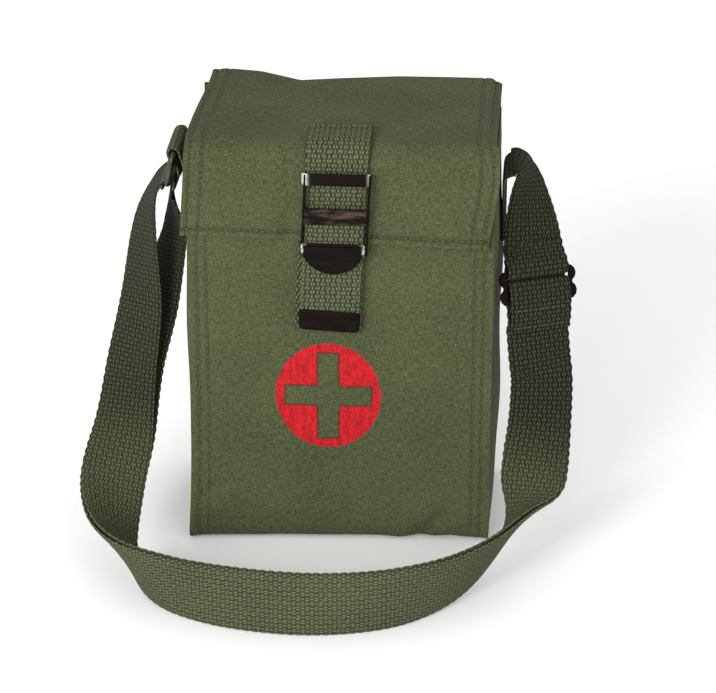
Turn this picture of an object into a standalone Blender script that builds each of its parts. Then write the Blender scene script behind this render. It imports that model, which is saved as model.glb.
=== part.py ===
"""A canvas first aid pouch with a flap, a webbing closure and a shoulder strap.

Metres, +Z up. The origin is the middle of the underside, the front faces -Y,
and +X is to the right of someone who looks at the front.
"""
import math

import bmesh
import bpy
import numpy as np
from mathutils import Matrix, Vector

MM = 0.001

# Pouch
WIDTH = 142 * MM
DEPTH = 78 * MM
MOUTH_HEIGHT = 195 * MM
BACK_HEIGHT = 203 * MM
CANVAS = 1.6 * MM
SEAM_GAP = 0.3 * MM
BOTTOM_RADIUS = 6 * MM
GUSSET_BULGE = 2 * MM

# Flap
FLAP_FRONT_TOP = 203.2 * MM
FLAP_BACK_TOP = 207 * MM
FLAP_DROP_END = 157 * MM
FLAP_EDGE_RADIUS = 7 * MM
FLAP_CLEARANCE = 0.5 * MM

# Closure: webbing, buckle and metal tip, given from the flap's outer face
CLOSURE_WEB_WIDTH = 29 * MM
FIXED_WEB_WIDTH = 31 * MM
CLOSURE_WEB = 1.8 * MM
FREE_WEB = 1.6 * MM
CLOSURE_X = -1.2 * MM
CLOSURE_LEAN = math.tan(math.radians(2.8))
BUCKLE_PIVOT_Z = 188.7 * MM
BUCKLE_STEEL = 1.2 * MM
BRIDGE_HEIGHT = 5.8 * MM
BAR_TOP = 174.4 * MM
BAR_HEIGHT = 7.9 * MM
PLATE_TOP = 157.4 * MM
PLATE_SIDE = 4 * MM
PLATE_DEPTH = 14.6 * MM
PLATE_WIDTH = 30 * MM
PLATE_TILT = math.radians(6)
RAIL_END = 151.8 * MM
TIP_TOP = 123.5 * MM
TIP_BOTTOM = 112.7 * MM
TIP_WALL = 0.7 * MM

# Shoulder strap
STRAP_WIDTH = 31 * MM
STRAP_WEB = 1.8 * MM
LAYER_OFFSET = 1.1 * MM
RING_WIRE = 1.4 * MM
RING_HALF_WIDTH = 17.6 * MM
RING_TOP = Vector((-79.5, 0, 187)) * MM
RING_BOTTOM = Vector((-82.7, 0, 172)) * MM
EYE_RADIUS = 2.7 * MM
STRAP_SEWN_FROM = 150 * MM
TAB_TOP = 182 * MM
TAB_TAIL = ((-80.4, 182.6), (-78, 180.6), (-77, 178.5))
BIGHT_FOOT = 167 * MM
ANCHOR_BEND = 4.4 * MM
ANCHOR_TOP = 176 * MM
ANCHOR_TURN = 78

# Slide adjuster on the right leg of the strap
SLIDE_FOOT = Vector((93.0, -31, 98)) * MM
SLIDE_HEAD = Vector((87.5, -15.5, 148)) * MM
SLIDE_ALONG = 0.62
SLIDE_PLATE = 2 * MM
SLIDE_LIFT = -4.0 * MM
SLIDE_ACROSS = (0.80, 0.60, 0)
SLIDE_LOBE = 4.1 * MM
SLIDE_REACH = 15.6 * MM
WINDOW_REACH = 16.2 * MM
WINDOW_LOW = 1.2 * MM
WINDOW_HIGH = 5.8 * MM
FOLD_PROFILE = (
    (3.1, -0.4), (3.1, 0.6), (2.6, 1.6), (1.4, 2.2), (0, 2.3), (-9, 2.3), (-13, 1.6), (-21, 0.3)
)

# The strap's way round the front, left ring to right anchor: the middle of the
# two layers, then the direction towards the edge that is on top along the front.
STRAP_ROUTE = (
    ((-89.3, 0, 176), (0, 1, 0)),
    ((-90.4, -2, 163), (-0.2, 0.98, 0)),
    ((-93.0, -8.5, 142), (-0.5, 0.87, 0)),
    ((-95.5, -17, 112), (-0.71, 0.71, 0)),
    ((-100, -27, 84), (-0.82, 0.57, 0)),
    ((-103, -40, 58), (-0.87, 0.42, 0.15)),
    ((-106.5, -60, 38), (-0.82, 0.08, 0.48)),
    ((-103.5, -82, 24), (-0.65, -0.2, 0.72)),
    ((-92, -102, 17.5), (-0.4, -0.15, 0.9)),
    ((-72, -117, 16), (-0.1, -0.1, 1)),
    ((-42, -127, 15.9), (0, 0, 1)),
    ((-5, -130, 15.9), (0, 0, 1)),
    ((30, -122, 15.9), (0, -0.1, 1)),
    ((57, -104, 17), (0.15, -0.25, 0.95)),
    ((76, -83, 23), (0.4, -0.25, 0.85)),
    ((89.5, -63, 36), (0.62, 0.1, 0.75)),
    ((93.4, -47, 58), (0.78, 0.5, 0.3)),
    ((94.6, -35.5, 83.5), SLIDE_ACROSS),
    (tuple(SLIDE_FOOT / MM), SLIDE_ACROSS),
    (tuple((SLIDE_FOOT + SLIDE_HEAD) / 2 / MM), SLIDE_ACROSS),
    (tuple(SLIDE_HEAD / MM), SLIDE_ACROSS),
    ((88.0, -5, 162), (0.3, 0.95, 0)),
    ((88.0, -1, 170), (0, 1, 0)),
    ((87.0, 0, 177), (0, 1, 0)),
)
ROUTE_STEPS = 4
RETURN_FROM = 2
RETURN_MERGES = 6
RETURN_TO = 19
RETURN_PARTING = 8.5 * MM


def clear_scene():
    for obj in list(bpy.data.objects):
        bpy.data.objects.remove(obj, do_unlink=True)


def make_collection(name):
    collection = bpy.data.collections.new(name)
    bpy.context.scene.collection.children.link(collection)
    return collection


def make_material(name, color, roughness, metallic=0.0):
    material = bpy.data.materials.new(name)
    material.use_nodes = True
    shader = material.node_tree.nodes["Principled BSDF"]
    shader.inputs["Base Color"].default_value = (*color, 1)
    shader.inputs["Roughness"].default_value = roughness
    shader.inputs["Metallic"].default_value = metallic
    material.diffuse_color = (*color, 1)
    return material


clear_scene()
PARTS = make_collection("first_aid_kit")
CUTTERS = make_collection("cutters")
CANVAS_GREEN = make_material("canvas", (0.10, 0.12, 0.055), 0.9)
WEB_GREEN = make_material("webbing", (0.08, 0.10, 0.045), 0.85)
BLACK_STEEL = make_material("blackened_steel", (0.012, 0.010, 0.009), 0.35, 0.9)
GAUZE_WHITE = make_material("gauze", (0.78, 0.76, 0.70), 0.95)
PAPER = make_material("paper_wrap", (0.55, 0.47, 0.33), 0.8)
CARTON_WHITE = make_material("carton", (0.72, 0.70, 0.66), 0.6)
TAPE_CREAM = make_material("cloth_tape", (0.66, 0.56, 0.40), 0.8)
FOIL = make_material("foil_laminate", (0.55, 0.56, 0.57), 0.3, 0.8)
OLIVE_WRAP = make_material("waxed_wrap", (0.13, 0.14, 0.07), 0.6)


def add_part(name, mesh, material):
    obj = bpy.data.objects.new(name, mesh)
    mesh.materials.append(material)
    PARTS.objects.link(obj)
    return obj


def thicken(obj, thickness):
    solidify = obj.modifiers.new("thickness", "SOLIDIFY")
    solidify.thickness = thickness
    solidify.offset = 0
    return obj


def add_sheet(name, grid, thickness, material):
    """A sheet through a grid of points (rows, columns, 3), thick to both sides."""
    rows, columns = grid.shape[:2]
    bm = bmesh.new()
    verts = [bm.verts.new(point) for point in grid.reshape(-1, 3)]
    for i in range(rows - 1):
        for j in range(columns - 1):
            a = i * columns + j
            bm.faces.new((verts[a], verts[a + columns], verts[a + columns + 1], verts[a + 1]))
    mesh = bpy.data.meshes.new(name)
    bm.to_mesh(mesh)
    bm.free()
    return thicken(add_part(name, mesh, material), thickness)


def add_band(name, path, across, width, thickness, material):
    """Webbing: a flat strip along a path, with its width along the vectors across."""
    path = np.asarray(path, float)
    across = np.broadcast_to(np.asarray(across, float), path.shape)
    grid = np.stack([path - across * width / 2, path + across * width / 2], axis=1)
    return add_sheet(name, grid, thickness, material)


def add_box(name, low, high, bevel, material):
    bm = bmesh.new()
    bmesh.ops.create_cube(bm, size=1.0)
    low, high = Vector(low), Vector(high)
    size = high - low
    bmesh.ops.scale(bm, vec=size, verts=bm.verts)
    mesh = bpy.data.meshes.new(name)
    bm.to_mesh(mesh)
    bm.free()
    obj = add_part(name, mesh, material)
    obj.location = (low + high) / 2
    if bevel:
        rounding = obj.modifiers.new("rounding", "BEVEL")
        rounding.width = bevel
        rounding.segments = 2
    return obj


def add_outline(name, rings, thickness, material):
    """A plate cut to an outline: the first ring is its edge, the others its windows."""
    curve = bpy.data.curves.new(name, "CURVE")
    curve.dimensions = "2D"
    curve.fill_mode = "BOTH"
    curve.extrude = thickness / 2
    for ring in rings:
        spline = curve.splines.new("POLY")
        spline.points.add(len(ring) - 1)
        for point, (x, y) in zip(spline.points, ring):
            point.co = (x, y, 0, 1)
        spline.use_cyclic_u = True
    shape = bpy.data.objects.new(name + "_outline", curve)
    PARTS.objects.link(shape)
    mesh = mesh_of(shape)
    return add_part(name, mesh, material)


def mesh_of(shape):
    """The closed mesh of a curve object, which is removed."""
    depsgraph = bpy.context.evaluated_depsgraph_get()
    mesh = bpy.data.meshes.new_from_object(shape.evaluated_get(depsgraph))
    mesh.materials.clear()
    bpy.data.objects.remove(shape, do_unlink=True)
    bm = bmesh.new()
    bm.from_mesh(mesh)
    bmesh.ops.remove_doubles(bm, verts=bm.verts, dist=0.01 * MM)
    bmesh.ops.recalc_face_normals(bm, faces=bm.faces)
    bm.to_mesh(mesh)
    bm.free()
    return mesh


def arc(center, radius, start, end, steps):
    """Points on an arc, in degrees, in the plane of the two numbers given."""
    angles = np.radians(np.linspace(start, end, steps))
    return [
        (center[0] + radius * math.cos(a), center[1] + radius * math.sin(a))
        for a in angles
    ]


def smooth_route(stops, steps):
    """Catmull-Rom points and unit width directions through the stops of a route."""
    knots = np.array([(*place, *across) for place, across in stops], float)
    knots = np.vstack([2 * knots[0] - knots[1], knots, 2 * knots[-1] - knots[-2]])
    t = np.linspace(0, 1, steps, endpoint=False)[:, None]
    spans = []
    for a, b, c, d in zip(knots, knots[1:], knots[2:], knots[3:]):
        spans.append(
            b
            + t * (c - a) / 2
            + t**2 * (a - 2.5 * b + 2 * c - d / 2)
            + t**3 * (1.5 * (b - c) + (d - a) / 2)
        )
    points = np.vstack(spans + [knots[-2:-1]])
    path = points[:, :3] * MM
    tangent = np.gradient(path, axis=0)
    tangent /= np.linalg.norm(tangent, axis=1)[:, None]
    across = points[:, 3:] - (points[:, 3:] * tangent).sum(1)[:, None] * tangent
    across /= np.linalg.norm(across, axis=1)[:, None]
    return path, across, np.cross(tangent, across)


# Canvas body: front, bottom and back in one piece, with a side panel at each end.
def build_body():
    half = DEPTH / 2 - CANVAS / 2
    low = CANVAS / 2
    radius = BOTTOM_RADIUS
    profile = [(-half, MOUTH_HEIGHT)]
    profile += arc((-half + radius, low + radius), radius, 180, 270, 6)
    profile += arc((half - radius, low + radius), radius, 270, 360, 6)
    profile.append((half, BACK_HEIGHT))
    path = [(0, y, z) for y, z in profile]
    add_band("canvas_body", path, (1, 0, 0), WIDTH, CANVAS, CANVAS_GREEN)


def build_gusset(name, side):
    """A side panel whose middle swells outwards, as a product of two sine arches."""
    reach = DEPTH / 2 - CANVAS - SEAM_GAP
    y = np.linspace(-reach, reach, 9)
    z = np.linspace(CANVAS + SEAM_GAP + BOTTOM_RADIUS / 2, MOUTH_HEIGHT, 11)
    swell = np.outer(
        np.sin(np.linspace(0, math.pi, len(z))), np.sin(np.linspace(0, math.pi, len(y)))
    )
    grid = np.zeros((len(z), len(y), 3))
    grid[..., 0] = side * (WIDTH / 2 - CANVAS / 2 + GUSSET_BULGE * swell)
    grid[..., 1] = y[None, :]
    grid[..., 2] = z[:, None]
    corner = BOTTOM_RADIUS / 2
    lowest = np.abs(grid[0, :, 1]) > reach - corner
    grid[0, lowest, 1] = np.sign(grid[0, lowest, 1]) * (reach - corner)
    add_sheet(name, grid, CANVAS, CANVAS_GREEN)


# Flap: one canvas sheet from the back edge over the mouth and down the front.
def flap_profile(lift):
    """(y, z) along the flap, at a height above the middle of its canvas."""
    back = DEPTH / 2 - CANVAS / 2
    front = -(DEPTH / 2 + FLAP_CLEARANCE + CANVAS / 2)
    top_back = FLAP_BACK_TOP - CANVAS / 2
    top_front = FLAP_FRONT_TOP - CANVAS / 2
    small = 3 * MM
    radius = FLAP_EDGE_RADIUS
    points = [(back + lift, BACK_HEIGHT + 0.6 * MM)]
    points += arc((back - small, top_back - small), small + lift, 15, 85, 4)
    points += arc((front + radius, top_front - radius), radius + lift, 93, 175, 7)
    points.append((front - lift, FLAP_DROP_END))
    return points


def flap_face():
    """The y of the flap's outer face on the front."""
    return -(DEPTH / 2 + FLAP_CLEARANCE + CANVAS)


def lean(x, z):
    """The closure leans a little, so that it moves to the right as it rises."""
    return CLOSURE_X + x + (z - BUCKLE_PIVOT_Z) * CLOSURE_LEAN


def leaning_path(profile):
    return [(lean(0, z), y, z) for y, z in profile]


def build_flap():
    path = [(0, y, z) for y, z in flap_profile(0)]
    add_band("flap_canvas", path, (1, 0, 0), WIDTH, CANVAS, CANVAS_GREEN)
    lift = CANVAS / 2 + SEAM_GAP + CLOSURE_WEB / 2
    front = [(y, z) for y, z in flap_profile(lift) if y < 0]
    start = (front[0][0] + 14 * MM, front[0][1] + 0.8 * MM)
    end = (front[-1][0], BUCKLE_PIVOT_Z - 44 * MM)
    path = leaning_path([start] + front[:-1] + [end])
    add_band("flap_web", path, (1, 0, 0), CLOSURE_WEB_WIDTH, CLOSURE_WEB, WEB_GREEN)


# Closure: a pressed steel buckle that turns on its top bridge, and the free web.
def outward(distance):
    """The y at a distance out from the flap's outer face."""
    return flap_face() - distance


BAR_BACK = SEAM_GAP + CLOSURE_WEB + SEAM_GAP + FREE_WEB + 0.4 * MM
RAIL_BACK = BAR_BACK - 1.8 * MM


def add_leaning_bar(name, half_width, top, bottom, back, steel, material):
    """A flat bar across the web, sheared so that its ends follow the lean."""
    bm = bmesh.new()
    bmesh.ops.create_cube(bm, size=1.0)
    for vert in bm.verts:
        z = top if vert.co.z > 0 else bottom
        x = half_width if vert.co.x > 0 else -half_width
        y = outward(back) if vert.co.y > 0 else outward(back + steel)
        vert.co = (lean(x, z), y, z)
    mesh = bpy.data.meshes.new(name)
    bm.to_mesh(mesh)
    bm.free()
    return add_part(name, mesh, material)


def combine(base, tool, operation):
    """Join a tool to a body, or cut it out, by an exact Boolean."""
    boolean = base.modifiers.new(tool.name, "BOOLEAN")
    boolean.operation = operation
    boolean.solver = "EXACT"
    boolean.object = tool
    PARTS.objects.unlink(tool)
    CUTTERS.objects.link(tool)
    tool.hide_render = True
    tool.display_type = "WIRE"


def build_buckle():
    inner = CLOSURE_WEB_WIDTH / 2 + 0.4 * MM
    outer = inner + BUCKLE_STEEL
    bridge_top = BUCKLE_PIVOT_Z + BRIDGE_HEIGHT / 2
    bridge_bottom = BUCKLE_PIVOT_Z - BRIDGE_HEIGHT / 2
    rail_depth = BAR_BACK + BUCKLE_STEEL - RAIL_BACK
    frame = add_leaning_bar(
        "buckle_frame", outer, bridge_top, bridge_bottom, BAR_BACK, BUCKLE_STEEL, BLACK_STEEL
    )
    for side, name in ((-1, "rail_left"), (1, "rail_right")):
        rail = add_leaning_bar(
            name, BUCKLE_STEEL / 2, bridge_top, RAIL_END, RAIL_BACK, rail_depth, BLACK_STEEL
        )
        rail.location.x = side * (inner + outer) / 2
        combine(frame, rail, "UNION")
    reach = inner - SEAM_GAP
    add_leaning_bar(
        "buckle_bar", reach, BAR_TOP, BAR_TOP - BAR_HEIGHT, BAR_BACK, BUCKLE_STEEL, BLACK_STEEL
    )


def build_thumb_plate():
    """A D-shaped plate: straight sides, then an arc, tilted out at its lower edge."""
    half = PLATE_WIDTH / 2 - 0.6 * MM
    drop = PLATE_DEPTH - PLATE_SIDE
    radius = (half**2 + drop**2) / (2 * drop)
    reach = math.degrees(math.asin(half / radius))
    center = (0, -PLATE_SIDE - drop + radius)
    ring = [(-half, 0)]
    ring += arc(center, radius, 270 - reach, 270 + reach, 13)
    ring.append((half, 0))
    plate = add_outline("thumb_plate", [ring], BUCKLE_STEEL, BLACK_STEEL)
    stand = Matrix.Rotation(math.radians(90) - PLATE_TILT, 4, "X")
    middle = outward(BAR_BACK + BUCKLE_STEEL / 2 + 0.3 * MM)
    place = Matrix.Translation((lean(0, PLATE_TOP), middle, PLATE_TOP))
    plate.matrix_world = place @ stand


def build_free_web():
    """The free end of the closure web, and the pressed tip that is clamped on it."""
    back = SEAM_GAP * 2 + CLOSURE_WEB
    middle = outward(back + FREE_WEB / 2)
    top = BAR_TOP - BAR_HEIGHT / 2
    web_end = TIP_BOTTOM + TIP_WALL + 2 * SEAM_GAP
    path = [(lean(0, z), middle, z) for z in (top, TIP_TOP, web_end)]
    add_band(
        "closure_web_end", path, (1, 0, 0), CLOSURE_WEB_WIDTH - 1.4 * MM, FREE_WEB, WEB_GREEN
    )
    tip_half = CLOSURE_WEB_WIDTH / 2
    wall = SEAM_GAP + TIP_WALL
    tip = add_leaning_bar(
        "web_tip", tip_half, TIP_TOP, TIP_BOTTOM, back - wall, FREE_WEB + 2 * wall, BLACK_STEEL
    )
    pocket = add_leaning_bar(
        "tip_pocket",
        tip_half - TIP_WALL + 0.3 * MM,
        TIP_TOP + 5 * MM,
        TIP_BOTTOM + TIP_WALL + SEAM_GAP,
        back - SEAM_GAP,
        FREE_WEB + 2 * SEAM_GAP,
        BLACK_STEEL,
    )
    combine(tip, pocket, "DIFFERENCE")


def build_fixed_web():
    """The web sewn to the front panel, which runs up to the flap's hem."""
    y = -(DEPTH / 2 + SEAM_GAP + CLOSURE_WEB / 2)
    bottom = TIP_BOTTOM + 1 * MM
    top = FLAP_DROP_END - 1.5 * MM
    path = [(lean(-0.9 * MM, z), y, z) for z in (top, bottom)]
    add_band("fixed_web", path, (1, 0, 0), FIXED_WEB_WIDTH, CLOSURE_WEB, WEB_GREEN)


# Left end of the strap: a web tab sewn to the side, a wire ring, the strap's loop.
def build_ring_tab():
    panel = -(WIDTH / 2 + GUSSET_BULGE)
    layer = panel - SEAM_GAP - STRAP_WEB / 2
    center = (RING_TOP.x, RING_TOP.z)
    profile = [(layer, STRAP_SEWN_FROM), (layer, TAB_TOP)]
    profile += arc(center, EYE_RADIUS, 0, 200, 11)
    profile += [(x * MM, z * MM) for x, z in TAB_TAIL]
    path = [(x, 0, z) for x, z in profile]
    add_band("ring_tab", path, (0, 1, 0), STRAP_WIDTH, STRAP_WEB, WEB_GREEN)


def build_ring():
    """A rectangular wire ring with rounded corners, leaning out from the side."""
    down = RING_BOTTOM - RING_TOP
    height = down.length
    slope = down.normalized()
    corner = 3 * MM
    reach = RING_HALF_WIDTH - corner
    ring = []
    for cy, cz, start in (
        (reach, corner, 0),
        (-reach, corner, 90),
        (-reach, height - corner, 180),
        (reach, height - corner, 270),
    ):
        for y, z in arc((cy, cz), corner, start, start + 90, 5):
            ring.append((y, 2 * cz - z))
    curve = bpy.data.curves.new("strap_ring", "CURVE")
    curve.dimensions = "3D"
    curve.bevel_depth = RING_WIRE
    curve.bevel_resolution = 2
    spline = curve.splines.new("POLY")
    spline.points.add(len(ring) - 1)
    for point, (y, along) in zip(spline.points, ring):
        place = RING_TOP + slope * along
        point.co = (place.x, y, place.z, 1)
    spline.use_cyclic_u = True
    shape = bpy.data.objects.new("ring_path", curve)
    PARTS.objects.link(shape)
    add_part("strap_ring", mesh_of(shape), BLACK_STEEL)


def build_ring_loop():
    """The bight of the strap over the ring's lower bar."""
    center = (RING_BOTTOM.x, RING_BOTTOM.z)
    profile = [(RING_BOTTOM.x + EYE_RADIUS, BIGHT_FOOT)]
    profile += arc(center, EYE_RADIUS, 0, 180, 9)
    profile.append((RING_BOTTOM.x - EYE_RADIUS, BIGHT_FOOT))
    path = [(x, 0, z) for x, z in profile]
    add_band("ring_loop", path, (0, 1, 0), STRAP_WIDTH, STRAP_WEB, WEB_GREEN)


# Right end of the strap: sewn to the side, it rises and turns over outwards.
def build_anchor():
    layer = WIDTH / 2 + GUSSET_BULGE + SEAM_GAP + STRAP_WEB / 2
    middle = (layer + ANCHOR_BEND, ANCHOR_TOP)
    profile = [(layer, STRAP_SEWN_FROM)]
    profile += arc(middle, ANCHOR_BEND, 180, ANCHOR_TURN, 6)
    path = [(x, 0, z) for x, z in profile]
    add_band("strap_anchor", path, (0, 1, 0), STRAP_WIDTH, STRAP_WEB, WEB_GREEN)


# Shoulder strap: an outer layer the whole way, and the layer that comes back.
def build_strap():
    path, across, face = smooth_route(STRAP_ROUTE, ROUTE_STEPS)
    add_band(
        "shoulder_strap", path - face * LAYER_OFFSET, across, STRAP_WIDTH, STRAP_WEB, WEB_GREEN
    )
    start, end = RETURN_FROM * ROUTE_STEPS, RETURN_TO * ROUTE_STEPS + 1
    merging = (RETURN_MERGES - RETURN_FROM) * ROUTE_STEPS
    left = np.clip(1 - np.arange(end - start) / merging, 0, 1)
    inset = (LAYER_OFFSET + RETURN_PARTING * left**2)[:, None]
    path = path[start:end] + face[start:end] * inset
    add_band(
        "strap_return_layer", path, across[start:end], STRAP_WIDTH, STRAP_WEB, WEB_GREEN
    )


def slide_frame():
    """The matrix of the slide: X across the strap, Y up along it, Z out of its front."""
    along = (SLIDE_HEAD - SLIDE_FOOT).normalized()
    across = Vector(SLIDE_ACROSS)
    across = (across - across.dot(along) * along).normalized()
    face = along.cross(across)
    place = SLIDE_FOOT.lerp(SLIDE_HEAD, SLIDE_ALONG)
    matrix = Matrix((across, along, across.cross(along))).transposed().to_4x4()
    return Matrix.Translation(place + face * SLIDE_LIFT) @ matrix


def build_slide():
    """A double-lobed plate with two windows; the web is folded over its middle bar."""
    lobe, reach = SLIDE_LOBE, SLIDE_REACH
    edge = arc((reach, -lobe), lobe, -90, 60, 6)
    edge += arc((reach, lobe), lobe, -60, 90, 6)
    edge += arc((-reach, lobe), lobe, 90, 240, 6)
    edge += arc((-reach, -lobe), lobe, 120, 270, 6)
    side = WINDOW_REACH
    windows = []
    for low, high in ((WINDOW_LOW, WINDOW_HIGH), (-WINDOW_HIGH, -WINDOW_LOW)):
        windows.append([(-side, low), (side, low), (side, high), (-side, high)])
    plate = add_outline("slide_adjuster", [edge] + windows, SLIDE_PLATE, BLACK_STEEL)
    plate.matrix_world = slide_frame()
    path = [(0, y * MM, z * MM) for y, z in FOLD_PROFILE]
    fold = add_band("slide_fold", path, (1, 0, 0), STRAP_WIDTH, STRAP_WEB, WEB_GREEN)
    fold.matrix_world = slide_frame()


# Contents: dressings and bandages packed upright, with free space above them.
def add_roll(name, center, radius, length, axis, material, bore=0.0):
    """A roll with its axis along X or Z; a bore makes it a ring."""
    segments = 32
    angles = [2 * math.pi * i / segments for i in range(segments)]
    rings = [[(radius * math.cos(a), radius * math.sin(a)) for a in angles]]
    if bore:
        rings.append([(bore * math.cos(a), bore * math.sin(a)) for a in angles])
    roll = add_outline(name, rings, length, material)
    turn = {"X": Matrix.Rotation(math.radians(90), 4, "Y"), "Z": Matrix.Identity(4)}[axis]
    roll.matrix_world = Matrix.Translation(center) @ turn
    return roll


def build_contents():
    """Lowest and highest corners, edge roundings and roll sizes are in mm."""
    def box(name, low, high, bevel, material):
        add_box(name, Vector(low) * MM, Vector(high) * MM, bevel * MM, material)

    box("bandage_carton", (-66, 9, 3.5), (30, 35.5, 100), 0.8, CARTON_WHITE)
    box("gauze_pad_sleeve", (32, 9, 3.5), (66, 35.5, 75), 1.2, PAPER)
    box("triangular_bandage_pack", (-55, -35.5, 3.5), (55, -3, 72), 4, OLIVE_WRAP)
    box("wipe_packets", (6, -30, 113), (62, 30, 126), 1.5, FOIL)
    box("field_dressing", (-52, -28, 139), (52, 28, 168), 6, OLIVE_WRAP)
    for side, name in ((-1, "gauze_roll_left"), (1, "gauze_roll_right")):
        middle = Vector((side * 29, -18.5, 92.5)) * MM
        add_roll(name, middle, 17.5 * MM, 54 * MM, "X", GAUZE_WHITE)
    add_roll("elastic_bandage_roll", Vector((49, 22, 93)) * MM, 14 * MM, 33 * MM, "X", TAPE_CREAM)
    tape = Vector((-33, 1, 125)) * MM
    add_roll("tape_roll", tape, 31 * MM, 25 * MM, "Z", TAPE_CREAM, bore=10 * MM)
    add_roll("tape_core", tape, 9.7 * MM, 25 * MM, "Z", PAPER, bore=8 * MM)


build_body()
build_gusset("left_gusset", -1)
build_gusset("right_gusset", 1)
build_flap()
build_buckle()
build_thumb_plate()
build_free_web()
build_fixed_web()
build_ring_tab()
build_ring()
build_ring_loop()
build_anchor()
build_strap()
build_slide()
build_contents()
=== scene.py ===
"""The looks of a canvas first aid pouch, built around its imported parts.

Metres, +Z up, the pouch stands on z = 0 and its front faces -Y.
"""
import math

import bmesh
import bpy
import numpy as np
from mathutils import Matrix, Vector


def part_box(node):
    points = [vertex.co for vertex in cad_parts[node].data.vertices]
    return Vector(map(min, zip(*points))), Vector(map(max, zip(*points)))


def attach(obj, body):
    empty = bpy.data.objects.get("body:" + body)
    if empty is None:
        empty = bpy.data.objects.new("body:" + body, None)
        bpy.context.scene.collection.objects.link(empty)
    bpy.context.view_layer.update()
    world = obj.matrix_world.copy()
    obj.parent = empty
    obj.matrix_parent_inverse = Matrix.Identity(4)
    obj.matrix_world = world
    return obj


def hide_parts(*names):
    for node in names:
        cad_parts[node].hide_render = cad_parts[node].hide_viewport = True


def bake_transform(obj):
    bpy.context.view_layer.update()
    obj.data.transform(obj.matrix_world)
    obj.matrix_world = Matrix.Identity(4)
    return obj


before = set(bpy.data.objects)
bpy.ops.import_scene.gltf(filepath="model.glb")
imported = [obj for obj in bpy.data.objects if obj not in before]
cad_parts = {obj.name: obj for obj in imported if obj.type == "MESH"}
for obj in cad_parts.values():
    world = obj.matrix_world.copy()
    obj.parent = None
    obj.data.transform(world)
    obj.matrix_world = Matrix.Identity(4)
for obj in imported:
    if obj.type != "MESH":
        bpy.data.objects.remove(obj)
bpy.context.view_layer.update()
MM = 0.001

# Stage: a pale floor under a large soft key light, a fill and an even white room.
# The camera stands in front, a little to the right and 25 degrees up.
CAMERA_PLACE = Vector((0.09720, -1.24941, 0.67613))
CAMERA_AZIMUTH = math.radians(4.2)
CAMERA_ELEVATION = math.radians(25.3)
CAMERA_LENS = 144.3
FLOOR_HALF = 4.0
FLOOR_COLOR = (0.96, 0.96, 0.96)
ROOM_BRIGHTNESS = 0.80
LIGHT_AIM = (0, 0, 0.1)
LIGHTS = (
    ("key", (-1.1, -2.3, 1.0), 1.2, 66),
    ("fill", (1.1, -2.2, 0.9), 1.4, 14),
    ("back_light", (0.2, 1.5, 1.2), 1.4, 5),
)

camera_data = bpy.data.cameras.new("camera")
camera_data.lens = CAMERA_LENS
camera = bpy.data.objects.new("camera", camera_data)
bpy.context.scene.collection.objects.link(camera)
backwards = Vector(
    (
        math.sin(CAMERA_AZIMUTH) * math.cos(CAMERA_ELEVATION),
        -math.cos(CAMERA_AZIMUTH) * math.cos(CAMERA_ELEVATION),
        math.sin(CAMERA_ELEVATION),
    )
)
rightwards = Vector((math.cos(CAMERA_AZIMUTH), math.sin(CAMERA_AZIMUTH), 0))
turn = Matrix((rightwards, backwards.cross(rightwards), backwards)).transposed()
camera.matrix_world = Matrix.Translation(CAMERA_PLACE) @ turn.to_4x4()
bpy.context.scene.camera = camera
bpy.context.scene.view_settings.view_transform = "Standard"


def add_soft_light(name, place, size, power):
    """A square area light that faces the pouch."""
    data = bpy.data.lights.new(name, "AREA")
    data.size = size
    data.energy = power
    light = bpy.data.objects.new(name, data)
    light.location = place
    light.rotation_mode = "QUATERNION"
    light.rotation_quaternion = (Vector(LIGHT_AIM) - Vector(place)).to_track_quat("-Z", "Y")
    bpy.context.scene.collection.objects.link(light)


for light_row in LIGHTS:
    add_soft_light(*light_row)

room = bpy.data.worlds.new("room")
room.use_nodes = True
room.node_tree.nodes["Background"].inputs["Color"].default_value = (1, 1, 1, 1)
room.node_tree.nodes["Background"].inputs["Strength"].default_value = ROOM_BRIGHTNESS
bpy.context.scene.world = room

floor_mesh = bpy.data.meshes.new("floor")
floor_mesh.from_pydata(
    [(x, y, 0) for x, y in ((-1, -1), (1, -1), (1, 1), (-1, 1))], [], [(0, 1, 2, 3)]
)
floor_mesh.transform(Matrix.Scale(FLOOR_HALF, 4))
floor = bpy.data.objects.new("floor", floor_mesh)
bpy.context.scene.collection.objects.link(floor)
floor_material = bpy.data.materials.new("floor")
floor_material.use_nodes = True
floor_shader = floor_material.node_tree.nodes["Principled BSDF"]
floor_shader.inputs["Base Color"].default_value = (*FLOOR_COLOR, 1)
floor_shader.inputs["Roughness"].default_value = 0.9
floor_shader.inputs["Specular IOR Level"].default_value = 0.1
floor_mesh.materials.append(floor_material)


# Cloth finishes: cotton canvas and cotton webbing are both plain weaves, the one
# fine and the other coarse, so one weave group and one wear group serve them all.
def new_group(name, inputs, outputs):
    """A shader node group with the sockets given, and its two end nodes."""
    group = bpy.data.node_groups.new(name, "ShaderNodeTree")
    for title, kind, value in inputs:
        socket = group.interface.new_socket(title, in_out="INPUT", socket_type=kind)
        if value is not None:
            socket.default_value = value
    for title, kind in outputs:
        group.interface.new_socket(title, in_out="OUTPUT", socket_type=kind)
    return group, group.nodes.new("NodeGroupInput"), group.nodes.new("NodeGroupOutput")


def math_node(tree, operation, *values):
    """A Math node whose inputs are numbers or sockets; gives its output socket."""
    node = tree.nodes.new("ShaderNodeMath")
    node.operation = operation
    for socket, value in zip(node.inputs, values):
        if isinstance(value, (int, float)):
            socket.default_value = value
        else:
            tree.links.new(value, socket)
    return node.outputs[0]


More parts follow.
